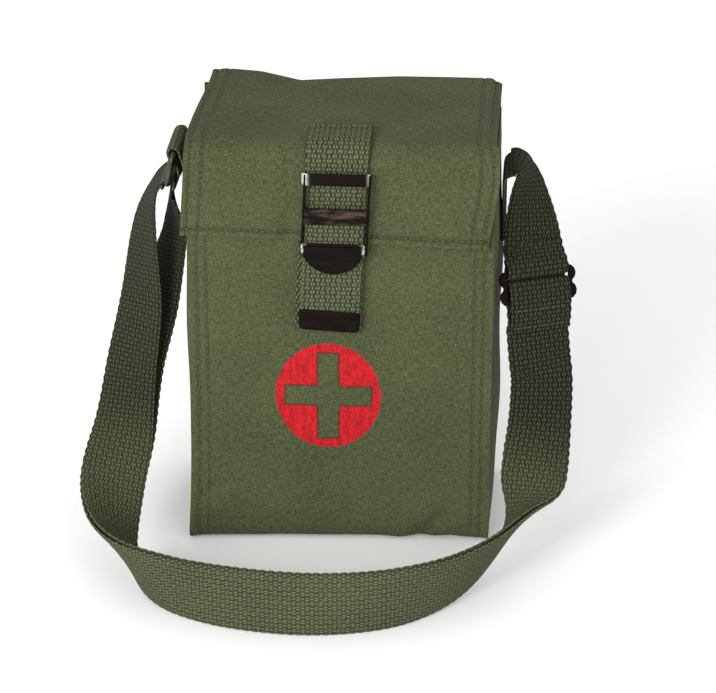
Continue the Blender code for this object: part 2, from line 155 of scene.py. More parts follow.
def mix_colors(tree, share, low, high):
    """A colour between low and high; each is a tuple or a socket."""
    node = tree.nodes.new("ShaderNodeMix")
    node.data_type = "RGBA"
    for socket, value in ((node.inputs[0], share), (node.inputs[6], low), (node.inputs[7], high)):
        if isinstance(value, tuple):
            socket.default_value = (*value, 1)
        elif isinstance(value, (int, float)):
            socket.default_value = value
        else:
            tree.links.new(value, socket)
    return node.outputs[2]


def noise_node(tree, vector, scale, detail=2.0, stretch=None):
    """A Noise texture over a vector, stretched by three factors; gives its factor."""
    if stretch is not None:
        mapping = tree.nodes.new("ShaderNodeMapping")
        mapping.inputs["Scale"].default_value = stretch
        tree.links.new(vector, mapping.inputs["Vector"])
        vector = mapping.outputs[0]
    noise = tree.nodes.new("ShaderNodeTexNoise")
    noise.inputs["Scale"].default_value = scale
    noise.inputs["Detail"].default_value = detail
    tree.links.new(vector, noise.inputs["Vector"])
    return noise.outputs["Fac"]


def remap(tree, value, low, high, new_low=0.0, new_high=1.0):
    """A value moved from one range to another, held inside the new one."""
    node = tree.nodes.new("ShaderNodeMapRange")
    node.clamp = True
    tree.links.new(value, node.inputs["Value"])
    for title, number in (
        ("From Min", low),
        ("From Max", high),
        ("To Min", new_low),
        ("To Max", new_high),
    ):
        node.inputs[title].default_value = number
    return node.outputs["Result"]


def make_weave_group():
    """Plain weave: with a and b the sines of the distances across and along over the two
    pitches, a warp thread is on top where a times b is above zero and a weft where not."""
    group, start, end = new_group(
        "plain_weave",
        [
            ("Vector", "NodeSocketVector", None),
            ("Warp Pitch", "NodeSocketFloat", 0.001),
            ("Weft Pitch", "NodeSocketFloat", 0.001),
            ("Wander", "NodeSocketFloat", 0.0001),
        ],
        [("Over", "NodeSocketFloat"), ("Height", "NodeSocketFloat")],
    )
    wander = group.nodes.new("ShaderNodeTexNoise")
    wander.inputs["Scale"].default_value = 260
    group.links.new(start.outputs["Vector"], wander.inputs["Vector"])
    centred = group.nodes.new("ShaderNodeVectorMath")
    centred.operation = "SUBTRACT"
    centred.inputs[1].default_value = (0.5, 0.5, 0.5)
    group.links.new(wander.outputs["Color"], centred.inputs[0])
    moved = group.nodes.new("ShaderNodeVectorMath")
    moved.operation = "SCALE"
    group.links.new(centred.outputs[0], moved.inputs[0])
    group.links.new(start.outputs["Wander"], moved.inputs["Scale"])
    place = group.nodes.new("ShaderNodeVectorMath")
    place.operation = "ADD"
    group.links.new(start.outputs["Vector"], place.inputs[0])
    group.links.new(moved.outputs[0], place.inputs[1])
    parts = group.nodes.new("ShaderNodeSeparateXYZ")
    group.links.new(place.outputs[0], parts.inputs[0])
    waves = []
    for axis, pitch in (("X", "Warp Pitch"), ("Y", "Weft Pitch")):
        turns = math_node(group, "DIVIDE", parts.outputs[axis], start.outputs[pitch])
        waves.append(math_node(group, "SINE", math_node(group, "MULTIPLY", turns, math.pi)))
    product = math_node(group, "MULTIPLY", *waves)
    over = remap(group, product, -0.12, 0.3)
    warp, weft = (math_node(group, "ABSOLUTE", wave) for wave in waves)
    soft_weft = math_node(group, "MULTIPLY_ADD", weft, 0.5, 0.5)
    soft_warp = math_node(group, "MULTIPLY_ADD", warp, 0.35, 0.25)
    on_top = math_node(group, "MULTIPLY", math_node(group, "SQRT", warp), soft_weft)
    below = math_node(group, "MULTIPLY", math_node(group, "SQRT", weft), soft_warp)
    top_part = math_node(group, "MULTIPLY", on_top, over)
    rest = math_node(group, "SUBTRACT", 1.0, over)
    height = math_node(group, "ADD", top_part, math_node(group, "MULTIPLY", below, rest))
    group.links.new(math_node(group, "MULTIPLY", over, on_top), end.inputs["Over"])
    group.links.new(height, end.inputs["Height"])
    return group


def make_wear_group():
    """Cloth wear: broad pale and dark patches, slubs along the threads and lint specks."""
    group, start, end = new_group(
        "cloth_wear",
        [("Vector", "NodeSocketVector", None), ("Object", "NodeSocketVector", None)],
        [("Patches", "NodeSocketFloat"), ("Slubs", "NodeSocketFloat"), ("Lint", "NodeSocketFloat")],
    )
    patches = noise_node(group, start.outputs["Object"], 24, 4)
    group.links.new(remap(group, patches, 0.3, 0.7), end.inputs["Patches"])
    across = noise_node(group, start.outputs["Vector"], 1500, 3, (0.25, 1, 1))
    along = noise_node(group, start.outputs["Vector"], 1500, 3, (1, 0.25, 1))
    slubs = math_node(group, "ADD", across, along)
    group.links.new(remap(group, slubs, 0.82, 1.18), end.inputs["Slubs"])
    lint = noise_node(group, start.outputs["Object"], 900, 1, (1, 1, 0.6))
    group.links.new(remap(group, lint, 0.80, 0.84), end.inputs["Lint"])
    return group


PLAIN_WEAVE = make_weave_group()
CLOTH_WEAR = make_wear_group()


def start_material(name, roughness, sheen=0.0, metallic=0.0, specular=0.5):
    """A material with its Principled shader's plain sockets set; gives it with its tree."""
    material = bpy.data.materials.new(name)
    material.use_nodes = True
    shader = material.node_tree.nodes["Principled BSDF"]
    shader.inputs["Roughness"].default_value = roughness
    shader.inputs["Metallic"].default_value = metallic
    shader.inputs["Sheen Weight"].default_value = sheen
    shader.inputs["Sheen Roughness"].default_value = 0.6
    shader.inputs["Specular IOR Level"].default_value = specular
    return material, material.node_tree, shader


def place_group(tree, group, **inputs):
    """A group node with its inputs linked or set; gives the node."""
    node = tree.nodes.new("ShaderNodeGroup")
    node.node_tree = group
    for title, value in inputs.items():
        socket = node.inputs[title.replace("_", " ")]
        if isinstance(value, (int, float)):
            socket.default_value = value
        else:
            tree.links.new(value, socket)
    return node


def attribute_node(tree, name):
    """The value that a mesh carries at each point under a name."""
    node = tree.nodes.new("ShaderNodeAttribute")
    node.attribute_name = name
    return node.outputs["Fac"]


def raise_bump(tree, shader, height, distance, strength=1.0):
    """Tilts the shader's normal as if the surface rose by a height times a distance."""
    bump = tree.nodes.new("ShaderNodeBump")
    bump.inputs["Distance"].default_value = distance
    bump.inputs["Strength"].default_value = strength
    tree.links.new(height, bump.inputs["Height"])
    tree.links.new(bump.outputs[0], shader.inputs["Normal"])


CANVAS_WARP = 0.80 * MM
CANVAS_WEFT = 0.95 * MM
CANVAS_WANDER = 0.5 * MM
CANVAS_SHADE_SHARE = 0.62
CANVAS_DARK = (0.0125, 0.0150, 0.0050)
CANVAS_LIGHT = (0.094, 0.109, 0.0505)
# The colour of the painted shade in the stitch grooves.
SEAM_SHADE_COLOR = (0.0125, 0.0145, 0.0066)
LINT_COLOR = (0.22, 0.24, 0.14)


def make_canvas(name, print_over=None):
    """Olive canvas: the weave sets light threads on dark, patches and slubs shift them,
    and a painted shade attribute darkens the cloth where stitching pulls it in, as shade in the
    grooves."""
    material, tree, shader = start_material(name, 0.95, sheen=0.02, specular=0.08)
    coordinates = tree.nodes.new("ShaderNodeTexCoord")
    weave = place_group(
        tree,
        PLAIN_WEAVE,
        Vector=coordinates.outputs["UV"],
        Warp_Pitch=CANVAS_WARP,
        Weft_Pitch=CANVAS_WEFT,
        Wander=CANVAS_WANDER,
    )
    wear = place_group(
        tree,
        CLOTH_WEAR,
        Vector=coordinates.outputs["UV"],
        Object=coordinates.outputs["Object"],
    )
    share = math_node(tree, "MULTIPLY_ADD", weave.outputs["Height"], 0.42, 0.05)
    share = math_node(tree, "MULTIPLY_ADD", wear.outputs["Slubs"], 0.42, share)
    share = math_node(tree, "MULTIPLY_ADD", wear.outputs["Patches"], 0.16, share)
    color = mix_colors(tree, share, CANVAS_DARK, CANVAS_LIGHT)
    color = mix_colors(tree, wear.outputs["Lint"], color, LINT_COLOR)
    if print_over is not None:
        color = print_over(tree, coordinates.outputs["UV"], color, wear, weave)
    # Painted shade along the stitch grooves, read from the mesh attribute.
    painted_shade = math_node(tree, "MULTIPLY", attribute_node(tree, "painted_shade"), CANVAS_SHADE_SHARE)
    color = mix_colors(tree, painted_shade, color, SEAM_SHADE_COLOR)
    tree.links.new(color, shader.inputs["Base Color"])
    height = math_node(tree, "MULTIPLY_ADD", wear.outputs["Slubs"], 0.5, weave.outputs["Height"])
    raise_bump(tree, shader, height, 0.12 * MM, 0.8)
    return material


# The emblem: a red disc printed on the front panel, with a cross left unprinted in the
# canvas colour. The ink is thin, so threads and slubs show through it.
EMBLEM_X = -5.7 * MM
EMBLEM_Z = 76.8 * MM
EMBLEM_HALF_WIDTH = 24.9 * MM
EMBLEM_HALF_HEIGHT = 27.0 * MM
CROSS_ARM = 5.1 * MM
CROSS_REACH_X = 20.6 * MM
CROSS_REACH_Z = 22.3 * MM
CROSS_OUTLINE = 0.55 * MM
INK_WANDER = 0.6 * MM
INK_COVER = 0.96
OUTLINE_COVER = 0.75
INK_BRIGHT = (0.52, 0.010, 0.018)
INK_DULL = (0.22, 0.008, 0.011)
INK_EDGE = (0.030, 0.016, 0.009)


def print_emblem(tree, uv, color, wear, weave):
    """Ink inside the ellipse and outside the cross, whose arms are two boxes: a point is
    in the cross where the smaller of its distances out of the two boxes is below zero."""
    parts = tree.nodes.new("ShaderNodeSeparateXYZ")
    tree.links.new(uv, parts.inputs[0])
    ragged = noise_node(tree, uv, 1400, 2)
    ragged = math_node(tree, "MULTIPLY", math_node(tree, "SUBTRACT", ragged, 0.5), INK_WANDER)
    x = math_node(tree, "ADD", math_node(tree, "SUBTRACT", parts.outputs["X"], EMBLEM_X), ragged)
    z = math_node(tree, "ADD", math_node(tree, "SUBTRACT", parts.outputs["Y"], EMBLEM_Z), ragged)
    round_x = math_node(tree, "POWER", math_node(tree, "DIVIDE", x, EMBLEM_HALF_WIDTH), 2.0)
    round_z = math_node(tree, "POWER", math_node(tree, "DIVIDE", z, EMBLEM_HALF_HEIGHT), 2.0)
    radius = math_node(tree, "SQRT", math_node(tree, "ADD", round_x, round_z))
    disc = remap(tree, radius, 1.008, 0.992)
    x = math_node(tree, "ABSOLUTE", x)
    z = math_node(tree, "ABSOLUTE", z)
    boxes = []
    for reach_x, reach_z in ((CROSS_ARM, CROSS_REACH_Z), (CROSS_REACH_X, CROSS_ARM)):
        out_x = math_node(tree, "SUBTRACT", x, reach_x)
        out_z = math_node(tree, "SUBTRACT", z, reach_z)
        boxes.append(math_node(tree, "MAXIMUM", out_x, out_z))
    outside = math_node(tree, "MINIMUM", *boxes)
    ink = math_node(tree, "MULTIPLY", disc, remap(tree, outside, -0.1 * MM, 0.1 * MM))
    edge = math_node(tree, "ABSOLUTE", outside)
    edge = math_node(tree, "MULTIPLY", remap(tree, edge, CROSS_OUTLINE, 0.1 * MM), disc)
    mottle = noise_node(tree, uv, 150, 4, (3, 0.7, 1))
    mottle = math_node(tree, "MULTIPLY_ADD", weave.outputs["Height"], 0.30, mottle)
    mottle = math_node(tree, "MULTIPLY_ADD", wear.outputs["Slubs"], 0.30, mottle)
    red = mix_colors(tree, remap(tree, mottle, 0.55, 0.98), INK_DULL, INK_BRIGHT)
    color = mix_colors(tree, math_node(tree, "MULTIPLY", ink, INK_COVER), color, red)
    return mix_colors(tree, math_node(tree, "MULTIPLY", edge, OUTLINE_COVER), color, INK_EDGE)


CANVAS = make_canvas("canvas")
PRINTED_CANVAS = make_canvas("printed_canvas", print_emblem)


# Pouch: one length of canvas makes the front, the bottom and the back. Its side edges
# are folded and sewn with two rows of stitches, and the outermost turn stands proud.
WIDTH = 142 * MM
HALF = WIDTH / 2
DEPTH = 78 * MM
CANVAS_THICK = 1.6 * MM
MOUTH = 195 * MM
BACK_TOP = 203 * MM
BOTTOM_TURN = 6 * MM
BODY_STEP = 2.0 * MM
EDGE_MARGIN = 11 * MM
EDGE_FINE = 0.55 * MM
EDGE_COARSE = 2.4 * MM


def unit(vectors):
    """Each vector over its own length."""
    return vectors / np.linalg.norm(vectors, axis=-1, keepdims=True)


def surface_normals(grid):
    """Unit normals of a grid of points: the cross product of its two step directions."""
    return unit(np.cross(np.gradient(grid, axis=0), np.gradient(grid, axis=1)))


def finish_piece(name, mesh, material, sharp=50):
    """An object at the origin from a mesh, shaded smooth except at edges above an angle."""
    mesh.polygons.foreach_set("use_smooth", [True] * len(mesh.polygons))
    mesh.set_sharp_from_angle(angle=math.radians(sharp))
    mesh.materials.append(material)
    piece = bpy.data.objects.new(name, mesh)
    bpy.context.scene.collection.objects.link(piece)
    return piece


def make_cloth(name, middle, across, along, thickness, material, painted_shade=None):
    """A closed sheet around the grid that is its middle.

    Each point goes half the thickness out along the normal and half against it, and a
    strip joins the two layers round the rim. The UV map holds the distances across and
    along in metres. Gives the piece and its outer layer.
    """
    rows, columns = middle.shape[:2]
    half = surface_normals(middle) * np.broadcast_to(thickness, (rows, columns))[..., None] / 2
    outer, inner = middle + half, middle - half
    count = rows * columns
    index = np.arange(count).reshape(rows, columns)
    quad = np.stack([index[:-1, :-1], index[1:, :-1], index[1:, 1:], index[:-1, 1:]], -1)
    quad = quad.reshape(-1, 4)
    rim = np.concatenate([index[:-1, 0], index[-1, :-1], index[:0:-1, -1], index[0, :0:-1]])
    after = np.roll(rim, -1)
    strip = np.stack([after, rim, rim + count, after + count], -1)
    faces = np.concatenate([quad, quad[:, ::-1] + count, strip])
    mesh = bpy.data.meshes.new(name)
    mesh.from_pydata(np.concatenate([outer, inner]).reshape(-1, 3), [], faces.tolist())
    uv = np.stack(np.meshgrid(across, along), -1).reshape(-1, 2)
    corners = np.zeros(len(mesh.loops), int)
    mesh.loops.foreach_get("vertex_index", corners)
    layer = mesh.uv_layers.new(name="cloth")
    layer.data.foreach_set("uv", np.tile(uv, (2, 1))[corners].ravel())
    if painted_shade is not None:
        values = np.tile(np.broadcast_to(painted_shade, (rows, columns)).ravel(), 2)
        mesh.attributes.new("painted_shade", "FLOAT", "POINT").data.foreach_set("value", values)
    return finish_piece(name, mesh, material), outer


def ease(low, high, value):
    """Smooth step: 0 below low, 1 above high, and 3 t squared - 2 t cubed between."""
    t = np.clip((value - low) / (high - low), 0, 1)
    return t * t * (3 - 2 * t)


def hump(value, middle, width):
    """A bell: e to the minus square of the distance from the middle over the width."""
    return np.exp(-(((value - middle) / width) ** 2))


def crease(x, z, start, end, width):
    """A bell across the segment from start to end that fades at both ends."""
    start, end = np.array(start) * MM, np.array(end) * MM
    run = end - start
    length = np.hypot(*run)
    t = ((x - start[0]) * run[0] + (z - start[1]) * run[1]) / length**2
    off = ((x - start[0]) * run[1] - (z - start[1]) * run[0]) / length
    return hump(off, 0, width * MM) * ease(-0.25, 0.25, t) * ease(1.25, 0.75, t)


def turned_profile(corners, radii, step):
    """Even points along a line of (y, z) corners, each rounded by an arc of its radius."""
    points = [np.array(corners[0], float)]
    for before, corner, after, radius in zip(corners, corners[1:], corners[2:], radii):
        before, corner, after = map(np.array, (before, corner, after))
        inward = (before - corner) / np.linalg.norm(before - corner)
        onward = (after - corner) / np.linalg.norm(after - corner)
        half_angle = math.acos(np.clip(inward @ onward, -1, 1)) / 2
        reach = radius / math.tan(half_angle)
        middle = corner + (inward + onward) / np.linalg.norm(inward + onward) * (
            radius / math.sin(half_angle)
        )
        first, last = corner + inward * reach - middle, corner + onward * reach - middle
        sweep = math.pi - 2 * half_angle
        t = np.linspace(0, 1, 9)[:, None]
        arc = (np.sin((1 - t) * sweep) * first + np.sin(t * sweep) * last) / math.sin(sweep)
        points.extend(middle + arc)
    points.append(np.array(corners[-1], float))
    return even_points(np.array(points), step)


def running_length(points):
    """The length of a line up to each of its points, by their first three numbers."""
    gaps = np.linalg.norm(np.diff(points[:, :3], axis=0), axis=1)
    return np.concatenate([[0], np.cumsum(gaps)])


def line_length(points):
    """The whole length of a line."""
    return float(running_length(points)[-1])


def read_line(values, length, places):
    """A line's columns of values, read at places along its running length."""
    return np.stack([np.interp(places, length, column) for column in values.T], -1)


def even_points(points, step):
    """Points a step apart along a line, by its running length."""
    length = running_length(points)
    count = max(2, int(round(length[-1] / step)) + 1)
    return read_line(points, length, np.linspace(0, length[-1], count))


def edge_columns(half):
    """Places across a panel, fine within a margin at each side and coarse between."""
    inner = half - EDGE_MARGIN
    side = np.arange(inner, half + EDGE_FINE / 2, EDGE_FINE)
    inside = np.linspace(-inner, inner, int(2 * inner / EDGE_COARSE) + 2)
    return np.concatenate([-side[::-1], inside[1:-1], side])


def spread_line(line, across):
    """A (y, z) line repeated at each place across, as grids of x, y and z."""
    y, x = np.meshgrid(line[:, 0], across, indexing="ij")
    z = np.meshgrid(line[:, 1], across, indexing="ij")[0]
    return x, y, z


SEAM_ROWS = (4.4 * MM, 8.6 * MM)
SEAM_PULL = 0.35 * MM
WELT = 3.4 * MM
WELT_RISE = 0.9 * MM
FOOT_FORWARD = 8 * MM
FOOT_OUTWARD = 2 * MM


def side_seams(x, half, rows=SEAM_ROWS, width=0.7 * MM):
    """How near each place across is to a row of stitches, from 0 to 1."""
    inset = half - np.abs(x)
    return np.clip(sum(hump(inset, row, width) for row in rows), 0, 1)


def spread_foot(points, share):
    """Moves the lower front left corner forward and outward. Both fall off as the sixth
    power of the share of the height left to the mouth. Across, the forward move goes with
    the square of the distance from the right side, and the outward one with its sixth."""
    low = np.clip(1 - points[..., 2] / MOUTH, 0, 1) ** 6 * share
    left = np.clip((1 - points[..., 0] / HALF) / 2, 0, 1) ** 2
    points = points.copy()
    points[..., 1] -= FOOT_FORWARD * low * left
    points[..., 0] -= FOOT_OUTWARD * low * left**3
    return points


wall = DEPTH / 2 - CANVAS_THICK / 2
floor_level = CANVAS_THICK / 2
body_line = turned_profile(
    [(-wall, MOUTH), (-wall, floor_level), (wall, floor_level), (wall, BACK_TOP)],
    [BOTTOM_TURN, BOTTOM_TURN],
    BODY_STEP,
)
body_x = edge_columns(HALF)
body_along = np.linspace(0, line_length(body_line), len(body_line))
grid_x, grid_y, grid_z = spread_line(body_line, body_x)
front = ease(-20 * MM, -36 * MM, grid_y)
back = ease(20 * MM, 36 * MM, grid_y)
rise = np.clip(grid_z / MOUTH, 0, 1)
belly = np.cos(grid_x / HALF * math.pi / 2) * np.sin(math.pi * rise)
belly = np.clip(belly, 0, 1)
waves = (
    0.45 * np.sin(grid_x * 62 + 1.3) * np.sin(grid_z * 41 + 0.4)
    + 0.30 * np.sin(grid_x * 118 - grid_z * 73 + 2.1)
    + 0.22 * np.sin(grid_z * 151 + grid_x * 35)
)
creases = (
    -2.0 * crease(grid_x, grid_z, (33, -2), (52, 17), 3.6)
    + 1.3 * crease(grid_x, grid_z, (24, -2), (46, 21), 4.0)
    - 1.5 * crease(grid_x, grid_z, (44, -3), (66, 9), 3.2)
    - 1.2 * crease(grid_x, grid_z, (-69, 20), (-56, 30), 2.6)
    + 0.9 * crease(grid_x, grid_z, (-66, 12), (-48, 27), 3.5)
    - 0.8 * crease(grid_x, grid_z, (-40, 148), (-18, 128), 5)
    - 0.8 * crease(grid_x, grid_z, (18, 122), (44, 150), 5)
)
stitched = side_seams(grid_x, HALF)
swell = (1.2 * belly + waves * belly**0.5 * 0.8 + creases) * MM - SEAM_PULL * stitched
body_middle = np.stack([grid_x, grid_y, grid_z], -1)
body_middle[..., 1] += back * (0.8 * belly + 0.5 * waves * belly) * MM - front * swell
body_middle = spread_foot(body_middle, front)
lowest = ease(7 * MM, 0, grid_z) * np.sin(grid_x * 95 + 0.7) * 0.25 * MM
body_middle[..., 2] += np.abs(lowest)
welt = ease(HALF - WELT, HALF - WELT + 0.8 * MM, np.abs(body_x))
body_thick = CANVAS_THICK + welt[None, :] * WELT_RISE
body_uv_along = MOUTH - body_along
# The last argument is painted shade along the side seams' stitch grooves, in short dashes.
body_piece, body_outer = make_cloth(
    "pouch_body",
    body_middle,
    body_x,
    body_uv_along,
    body_thick,
    PRINTED_CANVAS,
    stitched * (0.75 + 0.25 * np.sin(grid_z * 900)),
)
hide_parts("canvas_body")
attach(body_piece, "pouch")


# Stitches: olive thread in short straight lock stitches along every seam.
STITCH_PITCH = 2.9 * MM
STITCH_LENGTH = 2.1 * MM
STITCH_RADIUS = 0.24 * MM
STITCH_SIDES = 5
STITCH_SHAPE = (
    (0.0, 0.25, -0.15), (0.2, 0.9, 0.12), (0.5, 1.1, 0.12), (0.8, 0.9, 0.12), (1.0, 0.25, -0.15)
)
THREAD_DARK = (0.030, 0.036, 0.016)
THREAD_LIGHT = (0.085, 0.098, 0.045)


def make_thread():
    """Twisted olive thread: a fine noise mixes its two colours and raises its surface."""
    material, tree, shader = start_material("thread", 0.8, sheen=0.1, specular=0.25)
    coordinates = tree.nodes.new("ShaderNodeTexCoord")
    twist = noise_node(tree, coordinates.outputs["Object"], 1500, 1)
    color = mix_colors(tree, twist, THREAD_DARK, THREAD_LIGHT)
    tree.links.new(color, shader.inputs["Base Color"])
    raise_bump(tree, shader, twist, 0.05 * MM)
    return material


THREAD = make_thread()


def place_on(outer, across, along, line):
    """Points and normals on a sheet's outer layer at (across, along) distances."""
    order = np.argsort(across)
    columns = np.interp(line[:, 0], across[order], np.arange(len(across))[order])
    order = np.argsort(along)
    rows = np.interp(line[:, 1], along[order], np.arange(len(along))[order])
    low_row = np.clip(np.floor(rows).astype(int), 0, len(along) - 2)
    low_column = np.clip(np.floor(columns).astype(int), 0, len(across) - 2)
    r, c = (rows - low_row)[:, None], (columns - low_column)[:, None]

    def blend_corners(values):
        """The four corners of each place's cell, weighted by how near they are."""
        return (
            values[low_row, low_column] * (1 - r) * (1 - c)
            + values[low_row + 1, low_column] * r * (1 - c)
            + values[low_row, low_column + 1] * (1 - r) * c
            + values[low_row + 1, low_column + 1] * r * c
        )

    return blend_corners(outer), blend_corners(surface_normals(outer))


def sew(name, outer, across, along, lines, body, lift=0.05 * MM):
    """One mesh of spindle-shaped stitches along lines of (across, along) distances. Each
    is a row of rings round its chord, with a share of its length, a swell and a rise in mm."""
    starts, ends, ups = [], [], []
    for line in lines:
        line = even_points(np.array(line, float), 0.25 * MM)
        points, normals = place_on(outer, across, along, line)
        length = running_length(points)
        first = np.arange(0.4 * MM, length[-1] - STITCH_LENGTH, STITCH_PITCH)
        for places, found in ((first, starts), (first + STITCH_LENGTH, ends)):
            found.append(read_line(points, length, places))
        ups.append(read_line(normals, length, first))
    start, end, up = map(np.concatenate, (starts, ends, ups))
    side = unit(np.cross(unit(end - start), up))
    angles = np.arange(STITCH_SIDES) / STITCH_SIDES * 2 * math.pi
    rings = []
    for share, swell, rise in STITCH_SHAPE:
        middle = start + (end - start) * share + up * (lift + rise * MM)
        ring = (
            middle[:, None]
            + side[:, None] * np.cos(angles)[:, None] * STITCH_RADIUS * swell
            + up[:, None] * np.sin(angles)[:, None] * STITCH_RADIUS * swell
        )
        rings.append(ring)
    verts = np.stack(rings, 1)
    count = len(rings) * STITCH_SIDES
    ring_index = np.arange(count).reshape(len(rings), STITCH_SIDES)
    beside = np.roll(ring_index, -1, axis=1)
    quad = np.stack([ring_index[:-1], beside[:-1], beside[1:], ring_index[1:]], -1)
    quad = quad.reshape(-1, 4)
    offsets = np.arange(len(start))[:, None, None] * count
    faces = (quad[None] + offsets).reshape(-1, 4).tolist()
    faces += (ring_index[0][None, ::-1] + offsets[:, 0]).tolist()
    faces += (ring_index[-1][None] + offsets[:, 0]).tolist()
    mesh = bpy.data.meshes.new(name)
    mesh.from_pydata(verts.reshape(-1, 3), [], faces)
    piece = finish_piece(name, mesh, THREAD)
    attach(piece, body)
    return piece


def cross_row(reach, along):
    """A row of stitches from side to side, at one distance along."""
    return [(-reach, along), (reach, along)]


def side_rows(insets, start, end):
    """A row of stitches at each inset from both sides, between two distances along."""
    return [
        [(side * (HALF - inset), start), (side * (HALF - inset), end)]
        for inset in insets
        for side in (-1, 1)
    ]


body_rows = side_rows(SEAM_ROWS, MOUTH - 3 * MM, body_uv_along[-1] + 4 * MM)
sew("pouch_side_stitches", body_outer, body_x, body_uv_along, body_rows, "pouch")


# Side panels: a canvas gusset at each end, sewn into the front and back and pushed out
# by what is packed inside, the left one more than the right.
GUSSET_HALF = DEPTH / 2 - CANVAS_THICK - 0.3 * MM
GUSSET_FOOT = 2.4 * MM
GUSSET_STEP = 2.2 * MM
GUSSET_HEM_ROW = MOUTH - 7.5 * MM


def make_side_panel(name, node, side, bulge, phase):
    """x is the side wall plus the bulge in mm times an arch across and an arch up, each a
    half sine, with a few slanting waves that grow towards the middle."""
    y = np.linspace(-GUSSET_HALF, GUSSET_HALF, int(2 * GUSSET_HALF / GUSSET_STEP))
    z = np.linspace(GUSSET_FOOT, MOUTH, int((MOUTH - GUSSET_FOOT) / GUSSET_STEP))
    if side > 0:
        y = y[::-1]
    column, row = np.meshgrid(y, z)
    arch = np.cos(column / GUSSET_HALF * math.pi / 2)
    lift = np.clip(np.sin((row - GUSSET_FOOT) / (MOUTH - GUSSET_FOOT) * math.pi), 0, 1) ** 0.6
    folds = 0.5 * np.sin(row * 88 + column * 60 + phase) + 0.4 * np.sin(row * 51 - column * 90)
    x = side * (HALF - CANVAS_THICK / 2 + (bulge + folds * arch) * arch * lift * MM)
    middle = np.stack([x, column, row], -1)
    narrow = 1 - 0.07 * ease(5.5 * MM, GUSSET_FOOT, row)
    middle[..., 1] *= narrow
    middle = spread_foot(middle, ease(0, -GUSSET_HALF, column))
    hem = ease(MOUTH - 7 * MM, MOUTH - 6 * MM, row) * 0.8 * MM
    # Painted shade along the hem stitches and in the corners where the panel meets the front and
    # back.
    painted_shade = np.maximum(
        hump(row, GUSSET_HEM_ROW, 0.8 * MM), hump(np.abs(column), GUSSET_HALF, 1.6 * MM)
    )
    piece, outer = make_cloth(name, middle, y, z, CANVAS_THICK + hem, CANVAS, painted_shade)
    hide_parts(node)
    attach(piece, "pouch")
    line = cross_row(GUSSET_HALF - 1 * MM, GUSSET_HEM_ROW)
    sew(name + "_stitches", outer, y, z, [line], "pouch")


make_side_panel("left_side_panel", "left_gusset", -1, 5.0, 0.3)
make_side_panel("right_side_panel", "right_gusset", 1, 3.2, 2.0)


# Flap: a single piece of canvas sewn to the back, folded over the mouth and down the
# front. Its edge is hemmed all round, and its back edge rises at the left.
FLAP_SEWN = 186 * MM
FLAP_FRONT_TOP = 202.4 * MM
FLAP_BACK_TOP = 206.2 * MM
FLAP_FRONT_Y = -(DEPTH / 2 + 0.5 * MM + CANVAS_THICK / 2)
FLAP_BACK_Y = DEPTH / 2 + CANVAS_THICK / 2 + 0.15 * MM
FLAP_END = 156.6 * MM
FLAP_STEP = 1.6 * MM
HEM_ROWS = (2.6 * MM, 8.2 * MM)
HEM = 3.0 * MM
HEM_RISE = 0.9 * MM
HEM_STITCHES = 3.4 * MM
BACK_STITCHES = 4 * MM
BACK_EDGE_X = (-71, -64, -47, -28, -8, 21, 46, 66, 71)
BACK_EDGE_RISE = (3.2, 4.1, 3.0, -1.0, 0.5, 2.2, 2.4, 2.4, -0.5)
FLAP_SLANT = 3.1 * MM
CLOSURE_SHADOW = (-21 * MM, 20 * MM)

flap_line = turned_profile(
    [
        (FLAP_BACK_Y, FLAP_SEWN),
        (FLAP_BACK_Y, FLAP_BACK_TOP),
        (FLAP_FRONT_Y, FLAP_FRONT_TOP),
        (FLAP_FRONT_Y, FLAP_END),
    ],
    [3 * MM, 9.5 * MM],
    FLAP_STEP,
)
flap_x = edge_columns(HALF)
flap_along = np.linspace(0, line_length(flap_line), len(flap_line))


def flap_surface(x, y, z):
    """Moves the flat flap to its real shape.

    The back edge's height is read from a row of heights across, and it fades towards the
    front and down the back. The front narrows and shifts to the left as it drops, its hem
    slants, and long shallow waves run over it.
    """
    heights = np.interp(x / MM, BACK_EDGE_X, BACK_EDGE_RISE)
    over = ease(-38 * MM, 36 * MM, y) * ease(FLAP_SEWN, 200 * MM, z)
    drop = np.clip((FLAP_FRONT_TOP - z) / (FLAP_FRONT_TOP - FLAP_END), 0, 1)
    drop = drop * ease(-30 * MM, -39 * MM, y)
    top = ease(199 * MM, 202 * MM, z)
    sag = np.sin(np.clip((y + 38 * MM) / (76 * MM), 0, 1) * math.pi)
    ripples = (
        0.7 * np.sin(x * 55 + y * 40 + 0.6) + 0.5 * np.sin(x * 96 - y * 70 + 1.9)
    ) * sag
    z = z + (heights * over - (1.4 * np.cos(x / HALF * 1.4) * sag - ripples * 0.8) * top) * MM
    right = np.interp(drop, [0, 0.04, 0.33, 1], [0, 1.8, 2.0, -2.9])
    left = np.interp(drop, [0, 0.33, 1], [0, -0.8, -2.8]) + 4.5 * ease(-34 * MM, 38 * MM, y)
    share = (x / HALF + 1) / 2
    z = z - drop * (share - 0.5) * FLAP_SLANT
    front_waves = (
        0.8 * np.sin(x * 48 + 0.5) * np.sin(drop * 2.6)
        + 0.6 * np.sin(x * 88 - drop * 4)
        + 0.35 * np.sin(x * 150 + drop * 6 + 1)
        - 4.2 * hump(x, CLOSURE_SHADOW[0], 4.5 * MM) * drop
        - 3.2 * hump(x, CLOSURE_SHADOW[1], 5 * MM) * hump(drop, 0.55, 0.3)
        + 1.1 * hump(np.abs(x), HALF, 14 * MM) * drop
    )
    y = y - (front_waves * drop * 0.75 + 1.3 * drop**2) * MM
    x = x + (left * (1 - share) + right * share) * MM
    return np.stack([x, y, z], -1)


